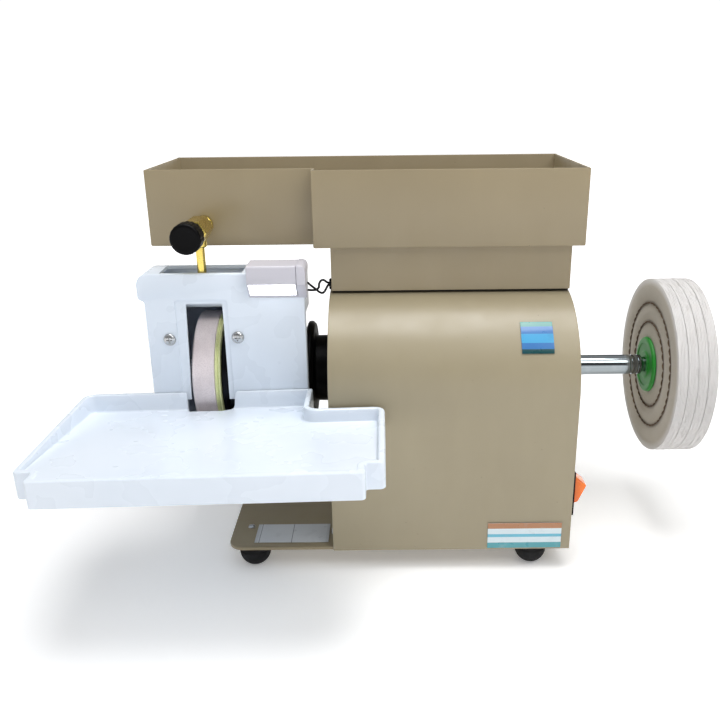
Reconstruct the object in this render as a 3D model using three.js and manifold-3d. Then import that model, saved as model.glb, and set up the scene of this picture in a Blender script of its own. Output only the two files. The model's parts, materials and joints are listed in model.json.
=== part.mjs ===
// Bench-top lens edger: a motor housing that carries a wet grinding wheel on its left and a cloth
// polishing buff on its right, with an open water tank, a drip tap, a wheel hood and a splash tray.
// Millimetres, +Z up, +X along the spindle towards the buff, the operator stands at -Y.
import * as THREE from "three";
import { mergeVertices } from "three/addons/utils/BufferGeometryUtils.js";
import Module from "manifold-3d";

const wasm = await Module();
wasm.setup();

// ---- Driving dimensions ------------------------------------------------------------------------

const GAP = 0.3; // between parts that touch
const ROUND = 32; // sides of a large turned part
const ROUND_SMALL = 16; // sides of a small turned part
const ROUND_WHEEL = 44; // sides of the wheels and the buff
const HEX = 6;

const FOOT_HEIGHT = 18;
const FOOT_RADIUS = 13;
const PLATE_THICKNESS = 3;
const PLATE_TOP = FOOT_HEIGHT + PLATE_THICKNESS;
const PLATE_LEFT = -184;

const SHEET = 1.5; // sheet metal of the housing
const HOUSING_HALF_WIDTH = 97;
const HOUSING_HALF_DEPTH = 88;
const HOUSING_TOP = 221.5;
const SHOULDER_RADIUS = 72; // the housing's front edge rolls over into its top

const AXIS_Z = 147; // spindle height above the bench
const SHAFT_RADIUS = 10;
const NOSE_RADIUS = 7.7; // shaft under the grinding wheels
const ARBOR_RADIUS = 8.6;
const WHEEL_RADIUS = 51;
const BUFF_RADIUS = 75;

const RISER = { left: -95.5, right: 97, front: -29, back: 86, bottom: 222.8, top: 258.3 };
const TANK = { left: -240.5, step: -108.5, right: 106, front: -35, setback: -18.5, back: 95 };
const TANK_BOTTOM = 258.6;
const TANK_TOP = 318.8;
const TANK_WALL = 2;

const TAP_X = -196;
const TAP_Z = 276;
const DRIP_Y = -40.5;

const HOOD = { left: -242, right: -115.5, front: -49, back: -14, bottom: 137.5, top: 242.6 };
const HOOD_WALL = 2.5;
const TRAY_RIM = 147.5;
const TRAY_TILT = THREE.MathUtils.degToRad(1.15); // the tray drains towards its left end
const TRAY_SKIRT = 20;

// ---- Materials ---------------------------------------------------------------------------------

const material = (color, roughness, metalness = 0) =>
  new THREE.MeshStandardMaterial({ color, roughness, metalness });

const PAINT = material("#a59880", 0.5);
const PAINT_DARK = material("#8c7c64", 0.5);
const WHITE_PLASTIC = material("#e4e9ee", 0.35);
const BLACK_PLASTIC = material("#16161a", 0.4);
const RUBBER = material("#1b1b1b", 0.85);
const CHROME = material("#d5d8da", 0.12, 1);
const STEEL = material("#9a9da0", 0.35, 1);
const CAST_IRON = material("#4a4c4e", 0.6, 0.8);
const COPPER_STACK = material("#7d6a58", 0.5, 0.7);
const BRASS = material("#c8a548", 0.25, 1);
const CERAMIC = material("#d9cfd0", 0.8);
const BEVEL_CERAMIC = material("#d7dd8a", 0.7);
const COTTON = material("#dedad3", 0.95);
const GREEN = material("#1e8a2c", 0.5);
const ORANGE = material("#f08214", 0.3);
const ALUMINIUM = material("#b9bcc0", 0.4, 0.9);
const DIFFUSER = material("#fbfbf4", 0.3);
const BLUE_FILM = material("#1f6fb4", 0.3);
const BADGE_FILM = material("#c9d8dc", 0.4);

// ---- Geometry helpers --------------------------------------------------------------------------

// Points of a closed outline. A corner is [x, y] or [x, y, radius], and a radius is drawn as an arc.
function outline(corners, steps = 6) {
  const points = [];
  corners.forEach(([x, y, radius = 0], i) => {
    const corner = new THREE.Vector2(x, y);
    if (!radius) {
      points.push(corner);
      return;
    }
    const before = corners[(i + corners.length - 1) % corners.length];
    const after = corners[(i + 1) % corners.length];
    const toBefore = new THREE.Vector2(before[0] - x, before[1] - y).normalize();
    const toAfter = new THREE.Vector2(after[0] - x, after[1] - y).normalize();
    const half = Math.acos(toBefore.dot(toAfter)) / 2;
    const middle = toBefore.clone().add(toAfter).normalize();
    const centre = corner.clone().addScaledVector(middle, radius / Math.sin(half));
    const start = corner.clone().addScaledVector(toBefore, radius / Math.tan(half)).sub(centre);
    const turn = (Math.PI - 2 * half) * Math.sign(toAfter.cross(toBefore));
    for (let s = 0; s <= steps; s++) {
      const angle = (-turn * s) / steps;
      points.push(start.clone().rotateAround(new THREE.Vector2(), -angle).add(centre));
    }
  });
  return points;
}

// Points of an arc of circle, angles in degrees.
function arc(cx, cy, radius, from, to, steps = 12) {
  return Array.from({ length: steps + 1 }, (_, i) => {
    const angle = THREE.MathUtils.degToRad(from + ((to - from) * i) / steps);
    return new THREE.Vector2(cx + radius * Math.cos(angle), cy + radius * Math.sin(angle));
  });
}

// Turns geometry drawn along Z so that it runs along the named axis.
// A section's (u, v) becomes (Y, Z) along "x", (X, Z) along "y" and (X, Y) along "z".
function along(axis, geometry) {
  const matrix = new THREE.Matrix4();
  if (axis === "x") matrix.set(0, 0, 1, 0, 1, 0, 0, 0, 0, 1, 0, 0, 0, 0, 0, 1);
  if (axis === "y") matrix.set(1, 0, 0, 0, 0, 0, -1, 0, 0, 1, 0, 0, 0, 0, 0, 1);
  return geometry.applyMatrix4(matrix);
}

// A prism of a section, from one place to another along an axis.
function prism(axis, points, from, to) {
  const depth = to - from;
  const geometry = new THREE.ExtrudeGeometry(new THREE.Shape(points), { depth, bevelEnabled: false });
  // Along "y" the section is drawn looking in the +Y direction, so its own depth runs backwards.
  geometry.translate(0, 0, axis === "y" ? -to : from);
  return solid(along(axis, geometry));
}

// Points of a section from plain [u, v] pairs.
const toPoints = (pairs) => pairs.map(([u, v]) => new THREE.Vector2(u, v));

function box(x0, x1, y0, y1, z0, z1) {
  return prism("z", toPoints([[x0, y0], [x1, y0], [x1, y1], [x0, y1]]), z0, z1);
}

// A turned part. Its profile is a list of [radius, place along the axis], closed on itself or on the axis.
function turned(axis, profile, sides, x = 0, y = 0, z = 0) {
  const points = profile.map(([radius, place]) => new THREE.Vector2(radius, place));
  if (points[0].x > 0 || points.at(-1).x > 0) points.push(points[0].clone());
  if (THREE.ShapeUtils.area(points) < 0) points.reverse();
  const geometry = new THREE.LatheGeometry(points, sides);
  if (axis === "x") geometry.rotateZ(-Math.PI / 2);
  if (axis === "z") geometry.rotateX(Math.PI / 2);
  return solid(geometry.translate(x, y, z));
}

// A solid cylinder along an axis, with its ends at two places.
function rod(axis, radius, from, to, sides, x = 0, y = 0, z = 0) {
  return turned(axis, [[0, from], [radius, from], [radius, to], [0, to]], sides, x, y, z);
}

// A ring along an axis.
function ring(axis, outer, inner, from, to, sides, x = 0, y = 0, z = 0) {
  return turned(axis, [[inner, from], [outer, from], [outer, to], [inner, to]], sides, x, y, z);
}

// A closed geometry as a manifold-3d solid.
function solid(geometry) {
  const bare = new THREE.BufferGeometry();
  bare.setAttribute("position", geometry.getAttribute("position"));
  if (geometry.index) bare.setIndex(geometry.index);
  const merged = mergeVertices(bare, 1e-4);
  const corners = merged.index.array;
  const kept = [];
  for (let i = 0; i < corners.length; i += 3) {
    const [a, b, c] = corners.slice(i, i + 3);
    if (a !== b && b !== c && c !== a) kept.push(a, b, c);
  }
  const vertProperties = merged.attributes.position.array;
  const triVerts = new Uint32Array(kept);
  return new wasm.Manifold(new wasm.Mesh({ numProp: 3, vertProperties, triVerts }));
}

// A solid without each of the others.
const cut = (body, ...tools) => tools.reduce((rest, tool) => rest.subtract(tool), body);

// Solids joined into one.
const join = (body, ...others) => others.reduce((sum, other) => sum.add(other), body);

// A sub-part: a named mesh in a group.
function part(group, name, body, look) {
  const { numProp, vertProperties, triVerts, numVert } = body.getMesh();
  const places = new Float32Array(numVert * 3);
  for (let i = 0; i < numVert; i++) {
    places.set(vertProperties.subarray(i * numProp, i * numProp + 3), i * 3);
  }
  const geometry = new THREE.BufferGeometry();
  geometry.setAttribute("position", new THREE.BufferAttribute(places, 3));
  geometry.setIndex(new THREE.BufferAttribute(triVerts, 1));
  geometry.computeVertexNormals();
  const mesh = new THREE.Mesh(geometry, look);
  mesh.name = name;
  group.add(mesh);
  return mesh;
}

// ---- Base --------------------------------------------------------------------------------------

const PLATE_CORNER = 12;
const FEET = { left: -163.5, right: 67.5, front: -73, back: 73 };

function base(group) {
  const edge = HOUSING_HALF_DEPTH - SHEET - GAP;
  const right = HOUSING_HALF_WIDTH - GAP;
  const plan = outline([
    [PLATE_LEFT, -edge, PLATE_CORNER],
    [right, -edge],
    [right, edge],
    [PLATE_LEFT, edge, PLATE_CORNER],
  ]);
  part(group, "base_plate", prism("z", plan, FOOT_HEIGHT, PLATE_TOP), PAINT_DARK);

  const top = FOOT_HEIGHT - GAP;
  const dome = arc(0, FOOT_RADIUS, FOOT_RADIUS, -65, 0, 6).map(({ x, y }) => [x, y]);
  const lift = dome[0][1];
  const bowl = dome.map(([radius, height]) => [radius, height - lift]);
  const profile = [[0, 0], ...bowl, [FOOT_RADIUS, top], [0, top]];
  for (const side of ["left", "right"]) {
    for (const end of ["front", "back"]) {
      const foot = turned("z", profile, ROUND_SMALL);
      part(group, `foot_${end}_${side}`, foot, RUBBER).position.set(FEET[side], FEET[end], 0);
    }
  }
}

// ---- Housing -----------------------------------------------------------------------------------

// The housing seen from the side, drawn in by some distance. Its front rolls over into its top.
function housingProfile(inset, bottom, back) {
  const centreY = SHOULDER_RADIUS - HOUSING_HALF_DEPTH;
  const centreZ = HOUSING_TOP - SHOULDER_RADIUS;
  return [
    new THREE.Vector2(inset - HOUSING_HALF_DEPTH, bottom),
    ...arc(centreY, centreZ, SHOULDER_RADIUS - inset, 180, 90, 20),
    new THREE.Vector2(back, HOUSING_TOP - inset),
  ];
}

const SWITCH = { y: -73.5, z: 66.5, halfWidth: 10, halfHeight: 17.5 };
const GLAND = { x: 55, z: 48, radius: 8 };
const SHAFT_HOLE = { left: 14, right: 12 }; // radius of the hole in each side panel
const VENT = { columns: [-45, 45], rows: 6, half: 26, pitch: 12, bottom: 118, tall: 4 };

function housing(group) {
  const outside = housingProfile(0, FOOT_HEIGHT, HOUSING_HALF_DEPTH);
  const inside = housingProfile(SHEET, FOOT_HEIGHT, HOUSING_HALF_DEPTH).reverse();
  const wrap = prism("x", [...outside, ...inside], -HOUSING_HALF_WIDTH, HOUSING_HALF_WIDTH);
  part(group, "housing_wrap", wrap, PAINT);

  const back = HOUSING_HALF_DEPTH - GAP;
  const floor = PLATE_TOP + GAP;
  const profile = [...housingProfile(SHEET + GAP, floor, back), new THREE.Vector2(back, floor)];
  const outer = HOUSING_HALF_WIDTH - GAP;
  const inner = outer - SHEET;
  const left = cut(
    prism("x", profile, -outer, -inner),
    rod("x", SHAFT_HOLE.left, -outer - 1, 1 - inner, ROUND_SMALL, 0, 0, AXIS_Z),
  );
  part(group, "side_panel_left", left, PAINT);
  const { y, z, halfWidth, halfHeight } = SWITCH;
  const right = cut(
    prism("x", profile, inner, outer),
    rod("x", SHAFT_HOLE.right, inner - 1, outer + 1, ROUND_SMALL, 0, 0, AXIS_Z),
    box(inner - 1, outer + 1, y - halfWidth, y + halfWidth, z - halfHeight, z + halfHeight),
  );
  part(group, "side_panel_right", right, PAINT);

  const panelBack = back - GAP;
  const [before, behind] = [panelBack - SHEET - 1, panelBack + 1];
  const slots = [];
  for (const x of VENT.columns) {
    for (let row = 0; row < VENT.rows; row++) {
      const bottom = VENT.bottom + VENT.pitch * row;
      slots.push(box(x - VENT.half, x + VENT.half, before, behind, bottom, bottom + VENT.tall));
    }
  }
  const reach = inner - GAP;
  const sheet = box(-reach, reach, panelBack - SHEET, panelBack, floor, HOUSING_TOP - SHEET - GAP);
  const glandHole = rod("y", GLAND.radius + GAP, before, behind, ROUND_SMALL, GLAND.x, 0, GLAND.z);
  part(group, "back_panel", cut(sheet, glandHole, ...slots), PAINT);
}

// ---- Riser and water tank ----------------------------------------------------------------------

const LEAD_EXIT = { y: -23, z: 227.4 }; // where the lamp's leads enter the riser

function rectangle({ left, right, front, back }, inset) {
  const [x0, x1, y0, y1] = [left + inset, right - inset, front + inset, back - inset];
  return outline([[x0, y0], [x1, y0], [x1, y1], [x0, y1]]);
}

function riser(group) {
  const gasketBottom = HOUSING_TOP + GAP;
  const gasketTop = RISER.bottom - GAP;
  const gasket = cut(
    prism("z", rectangle(RISER, 1), gasketBottom, gasketTop),
    prism("z", rectangle(RISER, 7), gasketBottom - 1, gasketTop + 1),
  );
  part(group, "riser_gasket", gasket, RUBBER);

  const walls = cut(
    prism("z", rectangle(RISER, 0), RISER.bottom, RISER.top),
    prism("z", rectangle(RISER, SHEET), RISER.bottom - 1, RISER.top + 1),
    rod("x", 3.4, RISER.left - 1, RISER.left + 3, ROUND_SMALL, 0, LEAD_EXIT.y, LEAD_EXIT.z),
  );
  part(group, "tank_riser", walls, PAINT_DARK);
}

// The tank seen from above. Its left stretch is set back, which leaves room for the tap.
function tankPlan(inset) {
  const { left, step, right, front, setback, back } = TANK;
  return outline([
    [left + inset, setback + inset],
    [step + inset, setback + inset],
    [step + inset, front + inset],
    [right - inset, front + inset],
    [right - inset, back - inset],
    [left + inset, back - inset],
  ]);
}

function tank(group) {
  const tapHole = 6;
  const body = cut(
    prism("z", tankPlan(0), TANK_BOTTOM, TANK_TOP),
    prism("z", tankPlan(TANK_WALL), TANK_BOTTOM + TANK_WALL, TANK_TOP + 1),
    rod("y", tapHole, TANK.setback - 1, TANK.setback + TANK_WALL + 1, ROUND_SMALL, TAP_X, 0, TAP_Z),
  );
  part(group, "water_tank", body, PAINT_DARK);
}

// ---- Tap and drip tube -------------------------------------------------------------------------

const KNOB = { radius: 11.5, front: -86, back: -70, edge: 1.2, socket: 2.9, socketDepth: 8.3 };
const TAP = { front: -66, hex: 10.2, neck: 7.6, tail: 5.7, stem: 2.6, stemBore: 3, nut: 9, nutBore: 6 };
const DRIP_TUBE = { radius: 3.5, bore: 2.5, bottom: 220 };

function tap(group) {
  const wall = TANK.setback;
  const flange = wall - GAP;
  const boss = { top: TAP_Z, bottom: TAP_Z - 14, radius: 5.8, bore: DRIP_TUBE.radius + 0.4, depth: 8 };
  const body = cut(
    join(
      rod("y", TAP.tail, flange - 2, wall + 11, ROUND_SMALL, TAP_X, 0, TAP_Z),
      rod("y", TAP.neck, flange - 13, flange, ROUND_SMALL, TAP_X, 0, TAP_Z),
      rod("y", TAP.hex, TAP.front + 5, flange - 12, HEX, TAP_X, 0, TAP_Z),
      rod("y", TAP.neck, TAP.front, TAP.front + 6, ROUND_SMALL, TAP_X, 0, TAP_Z),
      rod("z", boss.radius, boss.bottom, boss.top, ROUND_SMALL, TAP_X, DRIP_Y, 0),
    ),
    rod("z", boss.bore, boss.bottom - 1, boss.bottom + boss.depth, ROUND_SMALL, TAP_X, DRIP_Y, 0),
    rod("y", TAP.stemBore, TAP.front - 1, TAP.front + 18, ROUND_SMALL, TAP_X, 0, TAP_Z),
  );
  part(group, "tap_body", body, BRASS);

  const nutFront = wall + TANK_WALL + GAP;
  const locknut = cut(
    rod("y", TAP.nut, nutFront, nutFront + 5, HEX, TAP_X, 0, TAP_Z),
    rod("y", TAP.nutBore, nutFront - 1, nutFront + 6, ROUND_SMALL, TAP_X, 0, TAP_Z),
  );
  part(group, "tap_locknut", locknut, BRASS);

  const { radius: tubeRadius, bore, bottom } = DRIP_TUBE;
  const tubeTop = boss.bottom + boss.depth - 0.5;
  const tube = ring("z", tubeRadius, bore, bottom, tubeTop, ROUND_SMALL, TAP_X, DRIP_Y, 0);
  part(group, "drip_tube", tube, BRASS);

  const { radius, front, back, edge, socket, socketDepth } = KNOB;
  const stem = rod("y", TAP.stem, back - socketDepth + GAP, TAP.front + 12, ROUND_SMALL, TAP_X, 0, TAP_Z);
  part(group, "tap_stem", stem, BRASS);

  const profile = [
    [0, front],
    [radius - edge, front],
    [radius, front + edge],
    [radius, back - edge],
    [radius - edge, back],
    [0, back],
  ];
  const knob = cut(
    turned("y", profile, ROUND, TAP_X, 0, TAP_Z),
    rod("y", socket, back - socketDepth, back + 1, ROUND_SMALL, TAP_X, 0, TAP_Z),
  );
  part(group, "tap_knob", knob, BLACK_PLASTIC);
}

// ---- Wheel hood, chamber and lamp --------------------------------------------------------------

const SCREWS = [["left", -224.3, 189.5], ["right", -169.9, 190.8]];
const SCREW = { bore: 2.4, shank: 2, head: 5, length: 9, recess: 2.6, recessHalf: 0.5 };
const WINDOW = { left: -211.8, right: -180.6, top: 218.3, taper: 2.4 };
const BAND = { left: -218, right: -176.5, top: 222, depth: 0.8 }; // a shallow recess round the window
const WATER_SLOT = { left: -229, right: -164, front: 3.5, back: 31 };
const EAR = { out: 5, bottom: 221, corner: 9 };

function hood(group) {
  const { left, right, front, back, bottom, top } = HOOD;
  const earLeft = left - EAR.out;
  const shoulder = AXIS_Z + CHAMBER.radius + 0.5; // the hood has a back wall only above the chamber
  const face = outline([
    [left, bottom],
    [right, bottom],
    [right, top, 4],
    [earLeft, top, EAR.corner],
    [earLeft, EAR.bottom, 4],
    [left, EAR.bottom],
  ]);
  const inside = outline([
    [left + HOOD_WALL, bottom - 1],
    [right - HOOD_WALL, bottom - 1],
    [right - HOOD_WALL, top - HOOD_WALL, 2],
    [left + HOOD_WALL, top - HOOD_WALL, 3],
  ]);
  const window = toPoints([
    [WINDOW.left, bottom - 1],
    [WINDOW.right, bottom - 1],
    [WINDOW.right, WINDOW.top],
    [WINDOW.left + WINDOW.taper, WINDOW.top],
  ]);
  const body = cut(
    prism("y", face, front, back),
    prism("y", inside, front + HOOD_WALL, back - HOOD_WALL),
    box(left + HOOD_WALL, right - HOOD_WALL, front + HOOD_WALL, back + 1, bottom - 1, shoulder),
    box(right - 35, right + 1, front + 6.5, back + 1, bottom - 1, shoulder),
    prism("y", window, front - 1, front + HOOD_WALL + 1),
    box(BAND.left, BAND.right, front - 1, front + BAND.depth, bottom - 1, BAND.top),
    box(
      WATER_SLOT.left, WATER_SLOT.right,
      front + WATER_SLOT.front, front + WATER_SLOT.back,
      top - HOOD_WALL - 1, top + 1,
    ),
    ...SCREWS.map(([, x, z]) => rod("y", SCREW.bore, front - 1, front + 4, ROUND_SMALL, x, 0, z)),
  );
  part(group, "wheel_hood", body, WHITE_PLASTIC);

  for (const [side, x, z] of SCREWS) {
    const seat = front - GAP;
    const profile = [
      [0, seat - 2.6],
      [2.6, seat - 2.5],
      [4.4, seat - 1.5],
      [SCREW.head, seat],
      [SCREW.shank, seat],
      [SCREW.shank, seat + SCREW.length],
      [0, seat + SCREW.length],
    ];
    const { recess, recessHalf } = SCREW;
    const [from, to] = [seat - 4, seat - 1.2];
    const cross = join(
      box(x - recess, x + recess, from, to, z - recessHalf, z + recessHalf),
      box(x - recessHalf, x + recessHalf, from, to, z - recess, z + recess),
    );
    part(group, `hood_screw_${side}`, cut(turned("y", profile, ROUND_SMALL, x, 0, z), cross), STEEL);
  }
}

const CHAMBER = { left: -239, right: -150, wall: 2.5, radius: 61.5, front: -68, rim: 122 };
const SPOUT = { x: -198, radius: 6, bore: 4.5, barb: 6.8, collar: 10, length: 22 };
const FLANGE = { left: -118.7, face: -112.5, discRadius: 41, hubRadius: 28.5, bore: 13 };

function chamber(group) {
  const { left, right, wall, radius, front, rim } = CHAMBER;
  const bottom = AXIS_Z - radius;
  const top = AXIS_Z + radius;
  const mouth = HOOD.front + HOOD_WALL + 0.5;
  const outside = [
    ...toPoints([[mouth, rim], [front, rim], [front, bottom + 19], [-46, bottom]]),
    ...arc(0, AXIS_Z, radius, -90, 90, 24),
    ...toPoints([[mouth, top]]),
  ];
  const inside = [
    ...toPoints([[front + wall, rim + 1], [front + wall, bottom + 20], [-45, bottom + wall]]),
    ...arc(0, AXIS_Z, radius - wall, -90, 90, 24),
    ...toPoints([[-12, top - wall], [-12, top + 1], [-80, top + 1]]),
  ];
  const tunnel = { outer: 36, inner: 33.5, right: FLANGE.left - GAP };
  const spoutHole = rod("z", SPOUT.radius + GAP, bottom - 1, bottom + 5, ROUND_SMALL, SPOUT.x, 0, 0);
  const body = cut(
    join(
      cut(prism("x", outside, left, right), prism("x", inside, left + wall, right - wall)),
      ring("x", tunnel.outer, tunnel.inner, right - 1, tunnel.right, ROUND, 0, 0, AXIS_Z),
    ),
    rod("x", FLANGE.bore, right - wall - 1, right + 1, ROUND_SMALL, 0, 0, AXIS_Z),
    spoutHole,
  );
  part(group, "wheel_chamber", body, WHITE_PLASTIC);

  const under = bottom - GAP;
  const spout = [
    [SPOUT.bore, under - SPOUT.length],
    [SPOUT.radius, under - SPOUT.length],
    [SPOUT.barb, under - 18],
    [SPOUT.radius, under - 14],
    [SPOUT.radius, under - 3],
    [SPOUT.collar, under - 3],
    [SPOUT.collar, under],
    [SPOUT.bore, under],
  ];
  part(group, "drain_spout", turned("z", spout, ROUND_SMALL, SPOUT.x, 0, 0), WHITE_PLASTIC);

  const { face, discRadius, hubRadius, bore } = FLANGE;
  const hubEnd = GAP - HOUSING_HALF_WIDTH - 2 * GAP;
  const profile = [
    [bore, FLANGE.left],
    [discRadius - 1, FLANGE.left],
    [discRadius, FLANGE.left + 1],
    [discRadius, face - 2],
    [discRadius - 2, face],
    [hubRadius, face],
    [hubRadius, hubEnd],
    [bore, hubEnd],
  ];
  part(group, "chamber_flange", turned("x", profile, ROUND, 0, 0, AXIS_Z), BLACK_PLASTIC);
}

const LAMP = { left: -158.5, right: -120.3, front: -60, back: -34, top: 250.5, chin: 236.4, foot: 223 };
const END_CAP = { width: 6.7, proud: 0.6, corner: 5 };

// The lamp seen from the side: it hooks over the hood's top edge, and its chin slopes back at 45 degrees.
function lampProfile(grow = 0) {
  const { front, back, top, chin, foot } = LAMP;
  const seat = HOOD.front - GAP;
  return outline([
    [front - grow, top + grow, 2],
    [back, top + grow, 2],
    [back, HOOD.top + GAP],
    [seat, HOOD.top + GAP],
    [seat, foot],
    [front - grow, chin - grow],
  ]);
}

function lamp(group) {
  const { left, right, front, chin, foot } = LAMP;
  const seat = HOOD.front - GAP;
  const shell = prism("x", lampProfile(), left, right);
  // A pocket behind the chin holds the light board, and the diffuser closes it.
  const slope = new THREE.Vector2(seat - front, foot - chin).normalize();
  const inward = new THREE.Vector2(-slope.y, slope.x);
  const length = Math.hypot(seat - front, foot - chin);
  const place = (start, deep) =>
    new THREE.Vector2(front, chin).addScaledVector(slope, start).addScaledVector(inward, deep);
  // A plate along the chin between two depths. It stays clear of the chin's ends and of the foot.
  const plate = (margin, footMargin, shallow, deep) => {
    const section = [
      place(margin, shallow),
      place(length - footMargin, shallow),
      place(length - footMargin, deep),
      place(margin, deep),
    ];
    return prism("x", section, left + margin, right - margin);
  };
  const pocket = join(plate(1, 3, -1, 1.9), plate(2.5, 6.6, 1.8, 3.6));
  part(group, "lamp_housing", cut(shell, pocket), WHITE_PLASTIC);
  part(group, "lamp_led_board", plate(2.9, 7, 2, 3), GREEN);
  part(group, "lamp_diffuser", plate(1.3, 3.3, 0.2, 1.6), DIFFUSER);

  const { width, proud, corner } = END_CAP;
  const cap = { left: right + GAP, right: right + GAP + width, top: LAMP.top + proud };
  const frontView = outline([
    [cap.left, foot - 1],
    [cap.right, foot - 1],
    [cap.right, cap.top, corner],
    [cap.left, cap.top],
  ]);
  const body = prism("x", lampProfile(proud), cap.left, cap.right)
    .intersect(prism("y", frontView, front - 2, LAMP.back + 1));
  part(group, "lamp_end_cap", body, WHITE_PLASTIC);
}

// The lamp's two thin leads, from the end cap to the grommet in the riser's side.
const LEAD_RADIUS = 0.9;
const LEADS = {
  upper: [
    [-113, -45, 234], [-110.5, -43, 231], [-107.5, -39, 227.3], [-105, -35.5, 224], [-103, -33, 222.4],
    [-101.4, -30, 222.5], [-99.8, -26.5, 224.6], [-98, -24.2, 226.9], [-94, -24.2, 227.4],
    [-91, -24.2, 227.4],
  ],
  lower: [
    [-113, -43, 227.5], [-110, -39.5, 226.4], [-107.4, -34.2, 225.4], [-105.6, -30.8, 226.4],
    [-105.2, -29, 229.3], [-103.6, -27.6, 231.4], [-101.4, -26, 231.2], [-99.6, -23.4, 229],
    [-98, -21.8, 228], [-94, -21.8, 227.4], [-91, -21.8, 227.4],
  ],
};

function leads(group) {
  for (const [name, places] of Object.entries(LEADS)) {
    const route = new THREE.CatmullRomCurve3(places.map((place) => new THREE.Vector3(...place)));
    const section = new THREE.Shape(arc(0, 0, LEAD_RADIUS, 0, 315, 7));
    const geometry = new THREE.ExtrudeGeometry(section, { steps: 20, extrudePath: route });
    part(group, `lamp_lead_${name}`, solid(geometry), BLACK_PLASTIC);
  }
  const face = RISER.left - 2;
  const grommet = { bore: 2.3, lip: 4.6, groove: 3.1, inner: 4.4 };
  const profile = [
    [grommet.bore, face],
    [grommet.lip - 0.3, face],
    [grommet.lip, face + 1.4],
    [grommet.groove, face + 1.7],
    [grommet.groove, face + 3.8],
    [grommet.inner, face + 4],
    [grommet.inner, face + 5],
    [grommet.bore, face + 5],
  ];
  part(group, "lead_grommet", turned("x", profile, ROUND_SMALL, 0, LEAD_EXIT.y, LEAD_EXIT.z), RUBBER);
}

// ---- Splash tray -------------------------------------------------------------------------------

// The tray is drawn from its back right corner, which is the pivot of its slight tilt.
const TRAY = {
  right: -53.5,
  width: 245.5,
  apron: -200,
  front: -186,
  sideBack: -90.5,
  back: -46.5,
  inner: -58.5,
  rim: 4,
  sheet: 3,
  fall: 15, // how far the floor drops from the front edge to the back wall
};
const TRAY_NOTCH = 13; // the front corners are notched where the apron turns down

function trayPlan(inset, apron = TRAY.apron) {
  const { width, front, sideBack, back, inner } = TRAY;
  return outline([
    [TRAY_NOTCH - width + inset, apron + inset],
    [-TRAY_NOTCH - inset, apron + inset],
    [-TRAY_NOTCH - inset, front + inset],
    [-inset, front + inset],
    [-inset, sideBack - inset, 8],
    [inner - inset, sideBack - inset, 7],
    [inner - inset, back - inset],
    [inset - width, back - inset, 10],
    [inset - width, front + inset],
    [TRAY_NOTCH - width + inset, front + inset],
  ]);
}

function tray(group) {
  const { right, width, apron, front, sideBack, back, rim, sheet, fall } = TRAY;
  const before = apron - 10;
  const floorAt = (y) => (-fall * (y - apron)) / (back - apron);
  // Everything above the sloping floor, or above a place some distance under it.
  const above = (drop, ceiling) => {
    const section = [
      [before, floorAt(before) - drop],
      [0, floorAt(0) - drop],
      [0, ceiling],
      [before, ceiling],
    ];
    return prism("x", toPoints(section), -width, 0);
  };
  const below = cut(box(-width, 0, before, 0, -TRAY_SKIRT - 1, 5), above(sheet, 10));
  const basin = outline([
    [TRAY_NOTCH - width, apron - 1],
    [-TRAY_NOTCH, apron - 1],
    [-rim, front + 3],
    [-rim, sideBack - rim, 6],
    [TRAY.inner - rim, sideBack - rim, 6],
    [TRAY.inner - rim, back - 2.5],
    [rim - width, back - 2.5, 8],
    [rim - width, front + 3],
  ]);
  const toLocal = (x) => x - right;
  const mouth = outline([
    [toLocal(-215), back + 1],
    [toLocal(-173), back + 1],
    [toLocal(-173), HOOD.front - 1],
    [toLocal(-185), HOOD.front - 8],
    [toLocal(-213), HOOD.front - 8],
    [toLocal(-215), HOOD.front - 1],
  ]);
  const hoodSeat = HOOD.bottom - GAP - TRAY_RIM;
  const body = cut(
    prism("z", trayPlan(0), -TRAY_SKIRT, 0),
    prism("z", trayPlan(2.5), -TRAY_SKIRT - 1, 1).intersect(below),
    prism("z", basin, -TRAY_SKIRT, 1).intersect(above(0, 10)),
    prism("z", mouth, -TRAY_SKIRT - 1, 1),
    box(toLocal(HOOD.left - 1), toLocal(TRAY.inner + right + 5), HOOD.front - 0.5, back + 1, hoodSeat, 10),
  );
  const pivot = new THREE.Group();
  pivot.position.set(right, 0, TRAY_RIM);
  pivot.rotation.y = -TRAY_TILT;
  group.add(pivot);
  part(pivot, "splash_tray", body, WHITE_PLASTIC);

  const wall = -HOUSING_HALF_WIDTH - GAP;
  const bracket = { bottom: 84, top: 124, reach: 38, sheet: 3, front: -80, back: -52 };
  const arm = toPoints([
    [wall, bracket.bottom],
    [wall, bracket.top],
    [wall - bracket.reach, bracket.top],
    [wall - bracket.reach, bracket.top - bracket.sheet],
    [wall - 2 * bracket.sheet, bracket.top - bracket.sheet],
    [wall - bracket.sheet, bracket.top - 2 * bracket.sheet],
    [wall - bracket.sheet, bracket.bottom],
  ]);
  part(group, "tray_bracket", prism("y", arm, bracket.front, bracket.back), STEEL);
}

// ---- Spindle -----------------------------------------------------------------------------------

const WHEEL = { left: -209.8, right: -191.5 };
const BEVEL = { left: WHEEL.right + GAP, right: -187 };
const BUFF = { left: 176.5, right: 208 };

// A hexagon nut with a bore.
function nut(axis, radius, bore, from, to) {
  return cut(
    rod(axis, radius, from, to, HEX, 0, 0, AXIS_Z),
    rod(axis, bore, from - 1, to + 1, ROUND_SMALL, 0, 0, AXIS_Z),
  );
}

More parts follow.
